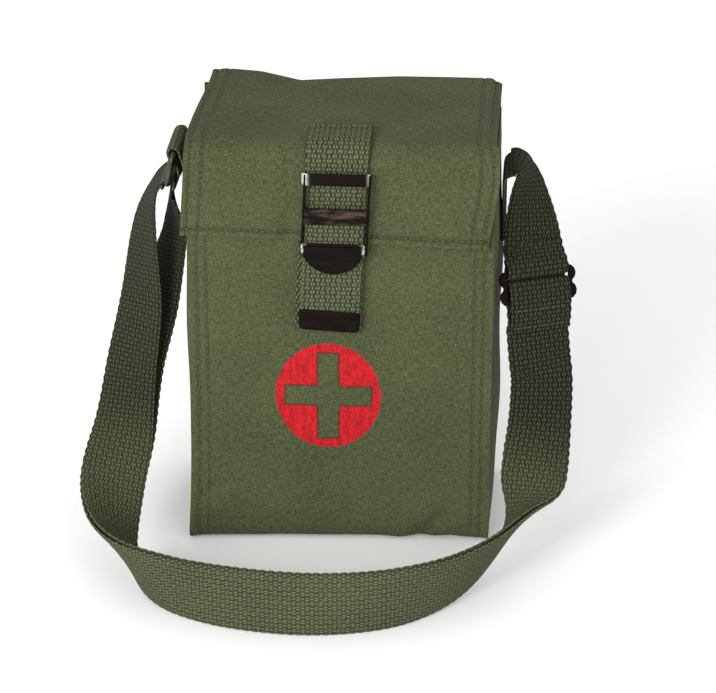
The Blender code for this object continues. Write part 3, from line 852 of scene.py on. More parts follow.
flap_grid = spread_line(flap_line, flap_x)
flap_middle = flap_surface(*flap_grid)
to_end = flap_along[-1] - flap_along[:, None]
# flap_seam pulls the cloth in at the stitch rows and is also painted shade in those grooves.
flap_seam = np.maximum(
    side_seams(flap_grid[0], HALF, HEM_ROWS), hump(to_end, HEM_STITCHES, 0.9 * MM)
)
flap_seam = np.maximum(flap_seam, hump(flap_along[:, None], BACK_STITCHES, 0.9 * MM) * 0.8)
flap_middle = flap_middle - surface_normals(flap_middle) * (flap_seam * SEAM_PULL)[..., None]
hem = np.maximum(
    ease(HALF - HEM, HALF - HEM + 0.8 * MM, np.abs(flap_grid[0])) * 0.5,
    ease(3.0 * MM, 2.0 * MM, to_end),
)
flap_piece, flap_outer = make_cloth(
    "flap", flap_middle, flap_x, flap_along, CANVAS_THICK + hem * HEM_RISE, CANVAS, flap_seam
)
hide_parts("flap_canvas")
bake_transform(flap_piece)

hem_row = flap_along[-1] - HEM_STITCHES
hem_line = cross_row(HALF - 2 * MM, hem_row)
first_free = 26 * MM
flap_rows = side_rows(HEM_ROWS, first_free, hem_row)
sew("flap_stitches", flap_outer, flap_x, flap_along, flap_rows + [hem_line], "flap")
back_row = cross_row(HALF - 2 * MM, BACK_STITCHES)
sew("flap_back_stitches", flap_outer, flap_x, flap_along, [back_row], "pouch")


# Webbing: olive cotton bands in a coarse plain weave with round, beaded edges. It is
# sewn to the flap and the front for the closure, and to both sides for the strap.
WEB_COLUMN = 2.4 * MM
WEB_ROW = 2.05 * MM
WEB_STEP = 0.5 * MM
WEB_BEAD = 0.22 * MM
WEB_DARK = (0.0065, 0.0080, 0.0032)
WEB_LIGHT = (0.120, 0.140, 0.070)
STRAP_DARK = (0.018, 0.020, 0.009)
STRAP_LIGHT = (0.116, 0.126, 0.064)
# WEB_SHADE is the colour of painted shade on the webbing.
WEB_SHADE = (0.0045, 0.0050, 0.0020)
WEB_WANDER = 0.8 * MM
FLOAT_HALF_WIDTH = 0.20
FLOAT_HALF_LENGTH = 0.46
FLOAT_SPLIT = 0.24


def make_float_group():
    """Warp floats of coarse webbing, on a chequer of columns and rows.

    With c the distance from the middle of a column and r that from the middle of a row,
    as shares, a float fades out where the sum of the squares of c over its half width
    and r over its half length grows past one, on one colour of the chequer. On the other
    it has split in two, with one half to each side.
    """
    group, start, end = new_group(
        "warp_floats",
        [("Vector", "NodeSocketVector", None), ("Wander", "NodeSocketFloat", 0.0001)],
        [("Float", "NodeSocketFloat"), ("Height", "NodeSocketFloat")],
    )
    wander = noise_node(group, start.outputs["Vector"], 330, 2)
    wander = math_node(group, "SUBTRACT", wander, 0.5)
    wander = math_node(group, "MULTIPLY", wander, start.outputs["Wander"])
    parts = group.nodes.new("ShaderNodeSeparateXYZ")
    group.links.new(start.outputs["Vector"], parts.inputs[0])
    cells, shares = [], []
    for axis, pitch in (("X", WEB_COLUMN), ("Y", WEB_ROW)):
        place = math_node(group, "ADD", parts.outputs[axis], wander)
        place = math_node(group, "DIVIDE", place, pitch)
        cells.append(math_node(group, "FLOOR", place))
        shares.append(math_node(group, "SUBTRACT", math_node(group, "FRACT", place), 0.5))
    split = math_node(group, "FLOORED_MODULO", math_node(group, "ADD", *cells), 2.0)
    across = math_node(group, "ABSOLUTE", shares[0])
    across = math_node(group, "MULTIPLY_ADD", split, -FLOAT_SPLIT, across)
    across = math_node(group, "DIVIDE", across, FLOAT_HALF_WIDTH)
    along = math_node(group, "DIVIDE", shares[1], FLOAT_HALF_LENGTH)
    away = math_node(
        group,
        "ADD",
        math_node(group, "POWER", across, 2.0),
        math_node(group, "POWER", along, 2.0),
    )
    group.links.new(remap(group, away, 1.7, 0.1), end.inputs["Float"])
    inside = math_node(group, "MAXIMUM", math_node(group, "SUBTRACT", 1.5, away), 0.0)
    group.links.new(math_node(group, "SQRT", inside), end.inputs["Height"])
    return group


WARP_FLOATS = make_float_group()


def make_webbing_material(name, dark, light, shade):
    """Light warp floats over dark gaps. A painted shade attribute darkens both by the share shade,
    and the floats by less than the gaps."""
    material, tree, shader = start_material(name, 0.9, sheen=0.02, specular=0.1)
    coordinates = tree.nodes.new("ShaderNodeTexCoord")
    weave = place_group(
        tree, WARP_FLOATS, Vector=coordinates.outputs["UV"], Wander=WEB_WANDER
    )
    wear = place_group(
        tree, CLOTH_WEAR, Vector=coordinates.outputs["UV"], Object=coordinates.outputs["Object"]
    )
    share = math_node(tree, "MULTIPLY", weave.outputs["Float"], 0.74)
    share = math_node(tree, "MULTIPLY_ADD", wear.outputs["Slubs"], 0.24, share)
    share = math_node(tree, "MULTIPLY_ADD", wear.outputs["Patches"], 0.12, share)
    color = mix_colors(tree, share, dark, light)
    # Painted shade from the mesh attribute, weaker on the floats.
    painted_shade = math_node(tree, "MULTIPLY", attribute_node(tree, "painted_shade"), shade)
    kept = math_node(tree, "MULTIPLY_ADD", weave.outputs["Float"], -0.4, 1.0)
    color = mix_colors(tree, math_node(tree, "MULTIPLY", painted_shade, kept), color, WEB_SHADE)
    tree.links.new(color, shader.inputs["Base Color"])
    height = math_node(tree, "MULTIPLY_ADD", wear.outputs["Slubs"], 0.12, weave.outputs["Height"])
    raise_bump(tree, shader, height, 0.45 * MM, 0.9)
    return material


WEBBING = make_webbing_material("webbing", WEB_DARK, WEB_LIGHT, 0.5)
STRAP_WEBBING = make_webbing_material("strap_webbing", STRAP_DARK, STRAP_LIGHT, 0.95)


def smooth_line(stops, step=WEB_STEP):
    """Catmull-Rom through the stops, whose first three numbers are a place in mm and the
    rest anything that goes with it, in even steps of length."""
    knots = np.array(stops, float)
    knots[:, :3] *= MM
    knots = np.vstack([2 * knots[0] - knots[1], knots, 2 * knots[-1] - knots[-2]])
    t = np.linspace(0, 1, 24, endpoint=False)[:, None]
    spans = []
    for a, b, c, d in zip(knots, knots[1:], knots[2:], knots[3:]):
        bend = a - 2.5 * b + 2 * c - d / 2
        turn_in = 1.5 * (b - c) + (d - a) / 2
        spans.append(b + t * (c - a) / 2 + t**2 * bend + t**3 * turn_in)
    return even_points(np.vstack(spans + [knots[-2:-1]]), step)


def make_webbing(name, path, across, width, thickness, material, painted_shade=None):
    """A band carried along a path, its width along the vectors across.

    Columns stand at fixed shares of the half width, and the thickness at a share s is the
    square root of 1 - s to the 14th, so the edges are round. The two edges swing out and
    in by a sine of the distance along, one turn for each pair of weft rows.
    """
    share = np.array([-1, -0.985, -0.93, -0.8, -0.4, 0, 0.4, 0.8, 0.93, 0.985, 1])
    thick = thickness * np.sqrt(np.clip(1 - np.abs(share) ** 14, 0.06, 1))
    path = np.asarray(path, float)
    across = np.broadcast_to(np.asarray(across, float), path.shape)
    along = running_length(path)
    swing = np.sin(along / WEB_ROW * math.pi)[:, None] * WEB_BEAD * ease(0.8, 1, np.abs(share))
    reach = share * width / 2 + swing * np.sign(share)
    middle = path[:, None] + across[:, None] * reach[..., None]
    piece, outer = make_cloth(
        name, middle, share * width / 2, along, thick[None, :], material, painted_shade
    )
    return piece, outer, share * width / 2, along


# Closure: a web sewn to the flap runs forward and down under the buckle, and a web sewn
# to the front panel carries on below the hem. Both lean a little to the right.
CLOSURE_WIDTH = 29 * MM
FIXED_WIDTH = 31 * MM
CLOSURE_WEB = 1.8 * MM
FREE_WEB = 1.6 * MM
GAP = 0.3 * MM
CLOSURE_X = -1.2 * MM
CLOSURE_ANGLE = math.radians(2.8)
CLOSURE_LEAN = math.tan(CLOSURE_ANGLE)
PIVOT_Z = 188.7 * MM
FLAP_FACE = -(DEPTH / 2 + 0.5 * MM + CANVAS_THICK)
WEB_END_Z = PIVOT_Z - 44 * MM
BOX_NEAR = 3.2 * MM
BOX_FAR = 13.5 * MM


def lean(z):
    """The closure's middle moves to the right as it rises."""
    return CLOSURE_X + (z - PIVOT_Z) * CLOSURE_LEAN


web_line = turned_profile(
    [
        (FLAP_FACE + 20 * MM, FLAP_FRONT_TOP + 2.6 * MM),
        (FLAP_FACE - GAP - CLOSURE_WEB / 2, FLAP_FRONT_TOP + 1.9 * MM),
        (FLAP_FACE - GAP - CLOSURE_WEB / 2, WEB_END_Z),
    ],
    [8.2 * MM],
    WEB_STEP,
)
web_path = np.stack([lean(web_line[:, 1]), web_line[:, 0], web_line[:, 1]], -1)
web_places = np.linspace(0, line_length(web_path), len(web_path))
web_path[:, 2] += 0.5 * MM * ease(BOX_NEAR, 0, web_places)
on_top = ease(FLAP_FACE + 6 * MM, FLAP_FACE + 20 * MM, web_path[:, 1])
web_across = np.stack([np.full(len(web_path), -1.0), 0.07 * on_top, -0.05 * on_top], -1)
# Painted shade across the box stitch near the sewn end of the web.
flap_web, flap_web_outer, web_columns, web_along = make_webbing(
    "closure_web", web_path, web_across, CLOSURE_WIDTH, CLOSURE_WEB, WEBBING,
    painted_shade=hump(web_places, BOX_NEAR, 1.0 * MM)[:, None],
)
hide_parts("flap_web")
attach(flap_web, "flap")
box_reach = CLOSURE_WIDTH / 2 - 2.2 * MM
box_rows = [cross_row(box_reach, along) for along in (BOX_NEAR, BOX_FAR)]
box_rows += [[(x, BOX_NEAR), (x, BOX_FAR)] for x in (-box_reach, box_reach)]
sew("flap_web_stitches", flap_web_outer, web_columns, web_along, box_rows, "flap")

fixed_z = np.arange(155.5, 112.4, -0.5) * MM
fixed_path = np.stack([lean(fixed_z) - 0.9 * MM, fixed_z * 0, fixed_z], -1)
fixed_path[:, 1] = -(DEPTH / 2 + GAP + CLOSURE_WEB / 2)
fixed_path[:, 1] -= 1.0 * MM * np.sin(fixed_z / MOUTH * math.pi)
fixed_web, fixed_outer, fixed_columns, fixed_along = make_webbing(
    "front_web", fixed_path, (-1, 0, 0), FIXED_WIDTH, CLOSURE_WEB, WEBBING
)
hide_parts("fixed_web")
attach(fixed_web, "pouch")
fixed_row = cross_row(FIXED_WIDTH / 2 - 2.4 * MM, fixed_along[-1] - 3 * MM)
sew("fixed_web_stitches", fixed_outer, fixed_columns, fixed_along, [fixed_row], "pouch")

TIP_TOP = 123.5 * MM
TIP_BOTTOM = 112.7 * MM
FREE_TOP = 170.4 * MM
FREE_WIDTH = 27.6 * MM
free_y = FLAP_FACE - 2 * GAP - CLOSURE_WEB - FREE_WEB / 2
free_z = np.arange(FREE_TOP / MM, TIP_BOTTOM / MM + 1.2, -0.5) * MM
free_path = np.stack([lean(free_z), free_y + 0 * free_z, free_z], -1)
free_path[:, 1] -= 0.5 * MM * hump(free_z, 132 * MM, 14 * MM)
free_web = make_webbing("free_web_end", free_path, (-1, 0, 0), FREE_WIDTH, FREE_WEB, WEBBING)[0]
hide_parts("closure_web_end")
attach(free_web, "free_web")


# Blackened steel: pressed buckle, web tip, ring and slide, under a black finish that is
# scuffed brown on the flats and bright bare metal at the turned ends, partly rubbed wear and partly
# painted highlight where the glints fall.
STEEL_BLACK = (0.0045, 0.0028, 0.0022)
STEEL_SCUFF = (0.062, 0.042, 0.034)
STEEL_BRIGHT = (0.72, 0.70, 0.69)


def make_black_steel(name, scuffed, roughness, shine):
    """Black finish mixed to brown by broad scuffs, and to bright metal by the bright-spot mask,
    which is partly wear and partly painted highlight.
    """
    material, tree, shader = start_material(name, roughness, specular=shine)
    coordinates = tree.nodes.new("ShaderNodeTexCoord")
    place = coordinates.outputs["Object"]
    scuff = noise_node(tree, place, 330, 5, (0.35, 1, 1.4))
    scuff = math_node(tree, "MULTIPLY", remap(tree, scuff, 0.42, 0.68), scuffed)
    color = mix_colors(tree, scuff, STEEL_BLACK, STEEL_SCUFF)
    rubbed_and_glint = attribute_node(tree, "rubbed_and_glint")
    grain = noise_node(tree, place, 900, 3)
    rubbed_and_glint = math_node(tree, "MULTIPLY", rubbed_and_glint, remap(tree, grain, 0.30, 0.48))
    color = mix_colors(tree, rubbed_and_glint, color, STEEL_BRIGHT)
    tree.links.new(color, shader.inputs["Base Color"])
    tree.links.new(rubbed_and_glint, shader.inputs["Metallic"])
    rough = math_node(tree, "MULTIPLY_ADD", scuff, 0.3, roughness)
    tree.links.new(rough, shader.inputs["Roughness"])
    raise_bump(tree, shader, grain, 0.03 * MM, 0.6)
    return material


BLACK_STEEL = make_black_steel("black_steel", 0.06, 0.5, 0.04)
WORN_STEEL = make_black_steel("worn_steel", 0.8, 0.35, 0.6)
SCUFFED_STEEL = make_black_steel("scuffed_steel", 1.0, 0.7, 0.08)


def make_closed_piece(name, points, faces, material, sharp, rubbed_and_glint, place=Matrix()):
    """A closed mesh turned face outwards and put in its place, with its bright spots at each
    point in an attribute: wear and painted glint."""
    mesh = bpy.data.meshes.new(name)
    mesh.from_pydata(points, [], faces)
    bm = bmesh.new()
    bm.from_mesh(mesh)
    bmesh.ops.recalc_face_normals(bm, faces=bm.faces)
    bm.to_mesh(mesh)
    bm.free()
    mesh.attributes.new("rubbed_and_glint", "FLOAT", "POINT").data.foreach_set("value", rubbed_and_glint)
    mesh.transform(place)
    return finish_piece(name, mesh, material, sharp)


def carry_section(name, path, side, up, section, material, closed=False, rubbed_and_glint=None):
    """A closed section of (side, up) offsets carried along a path, with flat ends unless
    the path closes on itself. The last argument gives the bright spots at each point of the path:
    wear and painted glint."""
    path, section = np.asarray(path, float), np.asarray(section, float)
    side = np.broadcast_to(np.asarray(side, float), path.shape)
    up = np.broadcast_to(np.asarray(up, float), path.shape)
    rings = path[:, None] + side[:, None] * section[:, :1] + up[:, None] * section[:, 1:]
    rows, columns = rings.shape[:2]
    index = np.arange(rows * columns).reshape(rows, columns)
    below = np.roll(index, -1, axis=0) if closed else index[1:]
    above = index if closed else index[:-1]
    quad = np.stack([above, np.roll(above, -1, 1), np.roll(below, -1, 1), below], -1)
    faces = quad.reshape(-1, 4).tolist()
    if not closed:
        faces += [index[0, ::-1].tolist(), index[-1].tolist()]
    worn_and_glint = np.repeat(np.zeros(rows) if rubbed_and_glint is None else rubbed_and_glint, columns)
    return make_closed_piece(name, rings.reshape(-1, 3), faces, material, 40, worn_and_glint)


def round_box(width, height, radius, steps=5):
    """The outline of a rectangle with round corners, as (side, up) offsets."""
    angles = np.linspace(0, math.pi / 2, steps)
    corner = np.stack([np.cos(angles), np.sin(angles)], -1) * radius
    shift = np.array([width / 2 - radius, height / 2 - radius])
    quarter = corner + shift
    back = quarter[::-1]
    return np.concatenate([quarter, back * (-1, 1), quarter * (-1, -1), back * (1, -1)])


# Buckle: a bridge and a flat bar across the web, a side rail at each end, and a D-shaped
# thumb plate that lifts to free the web. It turns on the bridge.
BAR_BACK = GAP + CLOSURE_WEB + GAP + FREE_WEB + 0.4 * MM
STEEL = 1.2 * MM
BRIDGE_HEIGHT = 5.8 * MM
BAR_TOP = 174.4 * MM
BAR_HEIGHT = 7.9 * MM
RAIL_X = 15.5 * MM
RAIL_END = 151.8 * MM
bar_y = FLAP_FACE - BAR_BACK - STEEL / 2


def make_bar(name, reach, middle_z, height, turn_back, material, rubbed_and_glint_ends):
    """A flat strip whose two ends curve back round the rails by a smooth step."""
    x = np.linspace(-reach, reach, 41)
    back = ease(reach - 2.2 * MM, reach, np.abs(x)) * turn_back
    z = np.full_like(x, middle_z)
    path = np.stack([lean(z) + x, bar_y + back, z], -1)
    side = np.tile([0.0, 0, 1], (len(x), 1))
    out = np.cross(unit(np.gradient(path, axis=0)), side)
    left, right = rubbed_and_glint_ends
    # Painted highlight: the bright ends stand for the glints on the turned ends as well as for
    # wear.
    worn_and_glint = hump(x, -reach + 1.4 * MM, left) + hump(x, reach - 0.8 * MM, right)
    section = round_box(height, STEEL, 0.45 * MM)
    piece = carry_section(name, path, side, out, section, material, rubbed_and_glint=worn_and_glint)
    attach(piece, "buckle")
    return piece


bridge = make_bar(
    "buckle_bridge", 15.6 * MM, PIVOT_Z, BRIDGE_HEIGHT, 1.1 * MM, BLACK_STEEL, (1.1 * MM, 0.5 * MM)
)
bar = make_bar(
    "buckle_middle_bar", 14.6 * MM, BAR_TOP - BAR_HEIGHT / 2, BAR_HEIGHT, 0.2 * MM,
    SCUFFED_STEEL, (0.01 * MM, 0.01 * MM),
)
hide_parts("buckle_bar")
for side, name in ((-1, "buckle_rail_left"), (1, "buckle_rail_right")):
    rail_z = np.linspace(PIVOT_Z + BRIDGE_HEIGHT / 2 - 0.4 * MM, RAIL_END, 12)
    rail_x = RAIL_X if side > 0 else -(RAIL_X - 1.3 * MM)
    rail_path = np.stack([lean(rail_z) + rail_x, bar_y + 0.9 * MM + 0 * rail_z, rail_z], -1)
    rail = carry_section(
        name, rail_path, (1, 0, 0), (0, 1, 0), round_box(1.1 * MM, 2.8 * MM, 0.3 * MM), BLACK_STEEL
    )
    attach(rail, "buckle")
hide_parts("buckle_frame")

PLATE_TOP = 157.4 * MM
PLATE_HALF = 14.7 * MM
PLATE_SIDE = 4 * MM
PLATE_DROP = 10.6 * MM
PLATE_TILT = math.radians(6)
PLATE_ROUND = 0.45 * MM


def make_plate(name, outline, thickness, edge, place, material, rubbed_and_glint=None):
    """A pressed plate: rings of the outline follow a half circle round its edge, drawn in
    by the edge radius at both faces, and one more ring leads to each flat face."""
    outline = np.asarray(outline, float)
    center = outline.mean(0)
    normal = np.roll(outline, -1, 0) - np.roll(outline, 1, 0)
    normal = unit(np.stack([normal[:, 1], -normal[:, 0]], -1))
    normal *= np.sign(((outline - center) * normal).sum(1, keepdims=True))
    turns = np.radians([0, 0, 45, 90, 135, 180, 180])
    insets = edge * (1 - np.sin(turns)) + (np.arange(7) % 6 == 0) * 1.0 * MM
    rings = [
        np.column_stack([outline - normal * inset, np.full(len(outline), level)])
        for inset, level in zip(insets, np.cos(turns) * thickness / 2)
    ]
    verts = np.concatenate(rings)
    count = len(outline)
    index = np.arange(len(verts)).reshape(-1, count)
    beside = np.roll(index, -1, 1)
    quad = np.stack([index[:-1], beside[:-1], beside[1:], index[1:]], -1).reshape(-1, 4)
    faces = quad.tolist() + [index[0].tolist(), index[-1, ::-1].tolist()]
    worn_and_glint = np.zeros(len(verts))
    if rubbed_and_glint is not None:
        worn_and_glint[count:-count] = rubbed_and_glint(verts[count:-count])
    return make_closed_piece(name, verts, faces, material, 60, worn_and_glint, place)


def plate_wear_and_glint(verts):
    """The upper corners of the thumb plate are bright along their short sides: partly rubbed wear,
    partly painted highlight.
    """
    return ease(PLATE_HALF - 0.9 * MM, PLATE_HALF - 0.2 * MM, np.abs(verts[:, 0])) * ease(
        -6.5 * MM, -4 * MM, verts[:, 1]
    )


arc_radius = (PLATE_HALF**2 + PLATE_DROP**2) / (2 * PLATE_DROP)
arc_reach = math.asin(min(1, PLATE_HALF / arc_radius))
arc_angles = np.linspace(-arc_reach, arc_reach, 33)
arc_middle = arc_radius - PLATE_SIDE - PLATE_DROP
arc_line = np.stack(
    [np.sin(arc_angles) * arc_radius, arc_middle - np.cos(arc_angles) * arc_radius], -1
)
plate_outline = np.concatenate(
    [
        [(-PLATE_HALF, -0.6 * MM), (-PLATE_HALF, -2 * MM)],
        arc_line,
        [(PLATE_HALF, -2 * MM), (PLATE_HALF, -0.6 * MM), (PLATE_HALF - 0.6 * MM, 0)],
        [(x, 0) for x in np.linspace(PLATE_HALF - 3 * MM, -PLATE_HALF + 3 * MM, 9)],
        [(-PLATE_HALF + 0.6 * MM, 0)],
    ]
)
plate_place = Matrix.Translation(
    (lean(PLATE_TOP), bar_y - 0.3 * MM, PLATE_TOP)
) @ Matrix.Rotation(math.radians(90) - PLATE_TILT, 4, "X")
plate = make_plate(
    "steel_thumb_plate", plate_outline, STEEL, PLATE_ROUND, plate_place, BLACK_STEEL, plate_wear_and_glint
)
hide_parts("thumb_plate")
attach(plate, "buckle")

# Web tip: thin sheet steel folded round the cut end of the web and pressed flat.
tip_outline = round_box(CLOSURE_WIDTH - 0.4 * MM, TIP_TOP - TIP_BOTTOM, 2.6 * MM, 8)
tip_middle = (TIP_TOP + TIP_BOTTOM) / 2
tip_place = (
    Matrix.Translation((lean(tip_middle), free_y, tip_middle))
    @ Matrix.Rotation(CLOSURE_ANGLE, 4, "Y")
    @ Matrix.Rotation(math.radians(90), 4, "X")
)
tip = make_plate(
    "steel_web_tip", tip_outline, FREE_WEB + 2 * MM, 0.9 * MM, tip_place, BLACK_STEEL
)
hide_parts("web_tip")
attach(tip, "free_web")


# Ring end: a web tab sewn to the left side holds a wire ring, which swings on it, and
# the strap's bight goes over the ring's lower bar.
STRAP_WIDTH = 31 * MM
STRAP_WEB = 1.8 * MM
RING_TOP = (-79.5, 0, 187)
RING_BOTTOM = (-82.7, 0, 172)
RING_WIRE = 1.4 * MM
RING_HALF = 17.6 * MM
RING_CORNER = 3 * MM
RING_SIDES = 14
ROUND_WIRE = 2.75
TAB_X = -74.9


def arc_stops(middle, radius, degrees):
    """Stops in mm on an arc across the strap, at angles up from straight right."""
    return [
        (middle[0] + radius * math.cos(a), 0, middle[2] + radius * math.sin(a))
        for a in np.radians(degrees)
    ]


tab_path = smooth_line(
    [(TAB_X, 0, z) for z in (148, 160, 172, 180)]
    + arc_stops(RING_TOP, ROUND_WIRE, (-5, 35, 75, 115, 155, 195))
    + [(-80.4, 0, 182.4), (-78.0, 0, 179.8), (-77.1, 0, 176)]
)
tab = make_webbing(
    "tab_web", tab_path, (0, -1, 0), STRAP_WIDTH, STRAP_WEB, STRAP_WEBBING
)[0]
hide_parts("ring_tab")
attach(tab, "pouch")

ring_top, ring_bottom = np.array(RING_TOP) * MM, np.array(RING_BOTTOM) * MM
ring_height = float(np.linalg.norm(ring_bottom - ring_top))
down = (ring_bottom - ring_top) / ring_height
flat_ring = round_box(2 * RING_HALF, ring_height, RING_CORNER, 8)
ring_path = ring_top + down * (ring_height / 2 - flat_ring[:, 1:])
ring_path = ring_path + np.array([0, 1, 0]) * flat_ring[:, :1]
ring_tangent = unit(np.roll(ring_path, -1, 0) - np.roll(ring_path, 1, 0))
ring_out = np.cross(down, [0, 1, 0])
ring_side = np.cross(ring_tangent, ring_out)
wire_angles = np.arange(RING_SIDES) / RING_SIDES * 2 * math.pi
wire = np.stack([np.cos(wire_angles), np.sin(wire_angles)], -1) * RING_WIRE
ring = carry_section(
    "wire_ring", ring_path, ring_side, ring_out, wire, WORN_STEEL, closed=True
)
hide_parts("strap_ring")
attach(ring, "ring")

BIGHT_FOOT = 169
BIGHT_BEND = 171
bight_x = RING_BOTTOM[0]
bight_path = smooth_line(
    [(bight_x + 2.7, 0, BIGHT_FOOT), (bight_x + 2.72, 0, BIGHT_BEND)]
    + arc_stops(RING_BOTTOM, ROUND_WIRE, (15, 50, 90, 130, 165))
    + [(bight_x - 2.72, 0, BIGHT_BEND), (bight_x - ROUND_WIRE, 0, BIGHT_FOOT)]
)
bight = make_webbing(
    "strap_bight", bight_path, (0, -1, 0), STRAP_WIDTH, STRAP_WEB, STRAP_WEBBING
)[0]
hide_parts("ring_loop")
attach(bight, "ring")


# Shoulder strap: one length of webbing from the right side, round the front and up over
# the ring, and back as a second layer to the slide. It hangs forward and stands on edge
# on the ground in front of the pouch.
LAYER = 1.1 * MM
# Painted shade on the strap's legs grows from LEG_FOOT to LEG_TOP; LEFT_LEG_SHADE keeps it a little
# lighter on the left leg.
LEG_FOOT = 26 * MM
LEG_TOP = 75 * MM
LEFT_LEG_SHADE = 0.90
RETURN_SHARE = 0.865

# Each stop: its place in mm, the way across the webbing, and the gap in mm that parts the
# two layers there.
STRAP_STOPS = (
    (-84.6, 0, 171.5, 0, 1, 0, 3.0),
    (-89.6, -1.0, 165, -0.10, 0.99, 0, 7),
    (-93.6, -4.0, 153, -0.33, 0.94, 0, 12),
    (-95.0, -8.5, 140, -0.5, 0.87, 0, 13),
    (-96.0, -17, 112, -0.71, 0.71, 0, 8),
    (-100, -27, 84, -0.82, 0.57, 0, 3),
    (-103, -40, 58, -0.87, 0.42, 0.15, 1),
    (-106.5, -60, 38, -0.82, 0.08, 0.48, 0.1),
    (-103.5, -82, 24, -0.65, -0.2, 0.72, 0),
    (-92, -102, 17.5, -0.4, -0.15, 0.9, 0),
    (-72, -117, 16, -0.1, -0.1, 1, 0),
    (-42, -127, 15.9, 0, 0, 1, 0),
    (-5, -130, 15.9, 0, 0, 1, 0),
    (30, -122, 15.9, 0, -0.1, 1, 0),
    (57, -104, 17, 0.15, -0.25, 0.95, 0),
    (76, -83, 23, 0.4, -0.25, 0.85, 0),
    (89.5, -63, 36, 0.66, 0.05, 0.75, 0),
    (93.4, -47, 58, 0.84, 0.43, 0.3, 0),
    (94.6, -35.5, 83.5, 0.88, 0.475, 0, 0),
    (93.0, -31, 98, 0.88, 0.475, 0, 0),
    (90.25, -23.25, 123, 0.88, 0.475, 0, 0),
    (88.0, -15.5, 146, 0.84, 0.54, 0, 0),
    (86.2, -8, 162, 0.62, 0.78, 0, 0),
    (84.8, -2.8, 173, 0.35, 0.93, 0, 0),
    (82.4, -0.5, 179.6, 0.1, 1, 0, 0),
    (79.6, 0, 181.5, 0, 1, 0, 0),
    (77.2, 0, 181.2, 0, 1, 0, 0),
)
strap_rows = smooth_line(STRAP_STOPS)
strap_middle = strap_rows[:, :3]
strap_tangent = unit(np.gradient(strap_middle, axis=0))
strap_across = strap_rows[:, 3:6]
leaning = (strap_across * strap_tangent).sum(1, keepdims=True)
strap_across = unit(strap_across - leaning * strap_tangent)
strap_face = np.cross(strap_tangent, strap_across)
# Painted shade: the legs darken as they rise, where they face away from the light.
strap_height = ease(LEG_FOOT, LEG_TOP, strap_middle[:, 2])
strap_shade = strap_height * np.where(strap_middle[:, 0] < 0, LEFT_LEG_SHADE, 1.0)

strap_outer_path = strap_middle - strap_face * LAYER
strap = make_webbing(
    "strap_outer_layer", strap_outer_path, strap_across, STRAP_WIDTH, STRAP_WEB, STRAP_WEBBING,
    painted_shade=strap_shade[:, None],
)[0]
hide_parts("shoulder_strap")
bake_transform(strap)

# The inner layer gets the same painted shade on its legs, for the shadow between it and the pouch.
return_end = int(len(strap_rows) * RETURN_SHARE)
parting = strap_rows[:return_end, 6:7] * MM
return_path = strap_middle[:return_end] + strap_face[:return_end] * (LAYER + parting)
return_layer = make_webbing(
    "strap_inner_layer",
    return_path,
    strap_across[:return_end],
    STRAP_WIDTH,
    STRAP_WEB,
    STRAP_WEBBING,
    painted_shade=strap_height[:return_end, None],
)[0]
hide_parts("strap_return_layer")
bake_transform(return_layer)

# Right end: the webbing comes out of the side seam, rises and turns over outwards.
ANCHOR_X = 74.4
ANCHOR_BEND = (78.8, 0, 176.4)
ANCHOR_RADIUS = 4.4
anchor_path = smooth_line(
    [(ANCHOR_X, 0, z) for z in (148, 160, 172)]
    + arc_stops(ANCHOR_BEND, ANCHOR_RADIUS, (170, 135, 100, 78))
)
anchor = make_webbing(
    "anchor_web", anchor_path, (0, 1, 0), STRAP_WIDTH, STRAP_WEB, STRAP_WEBBING
)[0]
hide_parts("strap_anchor")
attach(anchor, "pouch")


# Slide: a double-lobed steel plate on the right leg; the end of the return layer is
# folded over its middle bar and sewn down.
SLIDE_FOOT = Vector((93.0, -31, 98)) * MM
SLIDE_HEAD = Vector((87.5, -15.5, 148)) * MM
SLIDE_SHARE = 0.62
SLIDE_LIFT = -4.0 * MM
SLIDE_EDGE = 0.5 * MM
SLIDE_ACROSS = (0.88, 0.475, 0)
CAD_ACROSS = (0.80, 0.60, 0)
PASS_PROFILE = (
    (20, -2.9), (17, -2.4), (14, -0.6), (11.5, 1.0), (9.6, 1.9),
    (7.6, 2.2), (6.0, 1.9), (4.9, 0.6), (4.4, -1.0), (4.2, -2.4),
)
FOLD_PROFILE = (
    (2.2, -0.8), (2.3, 0.6), (1.8, 1.7), (0.4, 2.3),
    (-4, 2.4), (-9, 2.2), (-15, 1.0), (-21, -1.2),
)


def slide_matrix(across):
    """Across the strap, up along it and out of its front, in the middle of the slide."""
    along = (SLIDE_HEAD - SLIDE_FOOT).normalized()
    across = (across - across.dot(along) * along).normalized()
    turn = Matrix((across, along, across.cross(along))).transposed().to_4x4()
    middle = SLIDE_FOOT.lerp(SLIDE_HEAD, SLIDE_SHARE) + along.cross(across) * SLIDE_LIFT
    return Matrix.Translation(middle) @ turn


slide_place = slide_matrix(Vector(SLIDE_ACROSS))
slide_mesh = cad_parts["slide_adjuster"].data.copy()
slide_mesh.materials.clear()
bm = bmesh.new()
bm.from_mesh(slide_mesh)
bmesh.ops.remove_doubles(bm, verts=bm.verts, dist=0.01 * MM)
bmesh.ops.dissolve_limit(bm, angle_limit=0.02, verts=bm.verts, edges=bm.edges)
bm.to_mesh(slide_mesh)
bm.free()
slide_mesh.transform(slide_place @ slide_matrix(Vector(CAD_ACROSS)).inverted())
slide_plate = finish_piece("slide_plate", slide_mesh, BLACK_STEEL, 60)
rounding = slide_plate.modifiers.new("rounding", "BEVEL")
rounding.width = SLIDE_EDGE
rounding.segments = 3
rounding.limit_method = "ANGLE"
rounding.angle_limit = math.radians(35)
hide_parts("slide_adjuster")
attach(slide_plate, "slide")


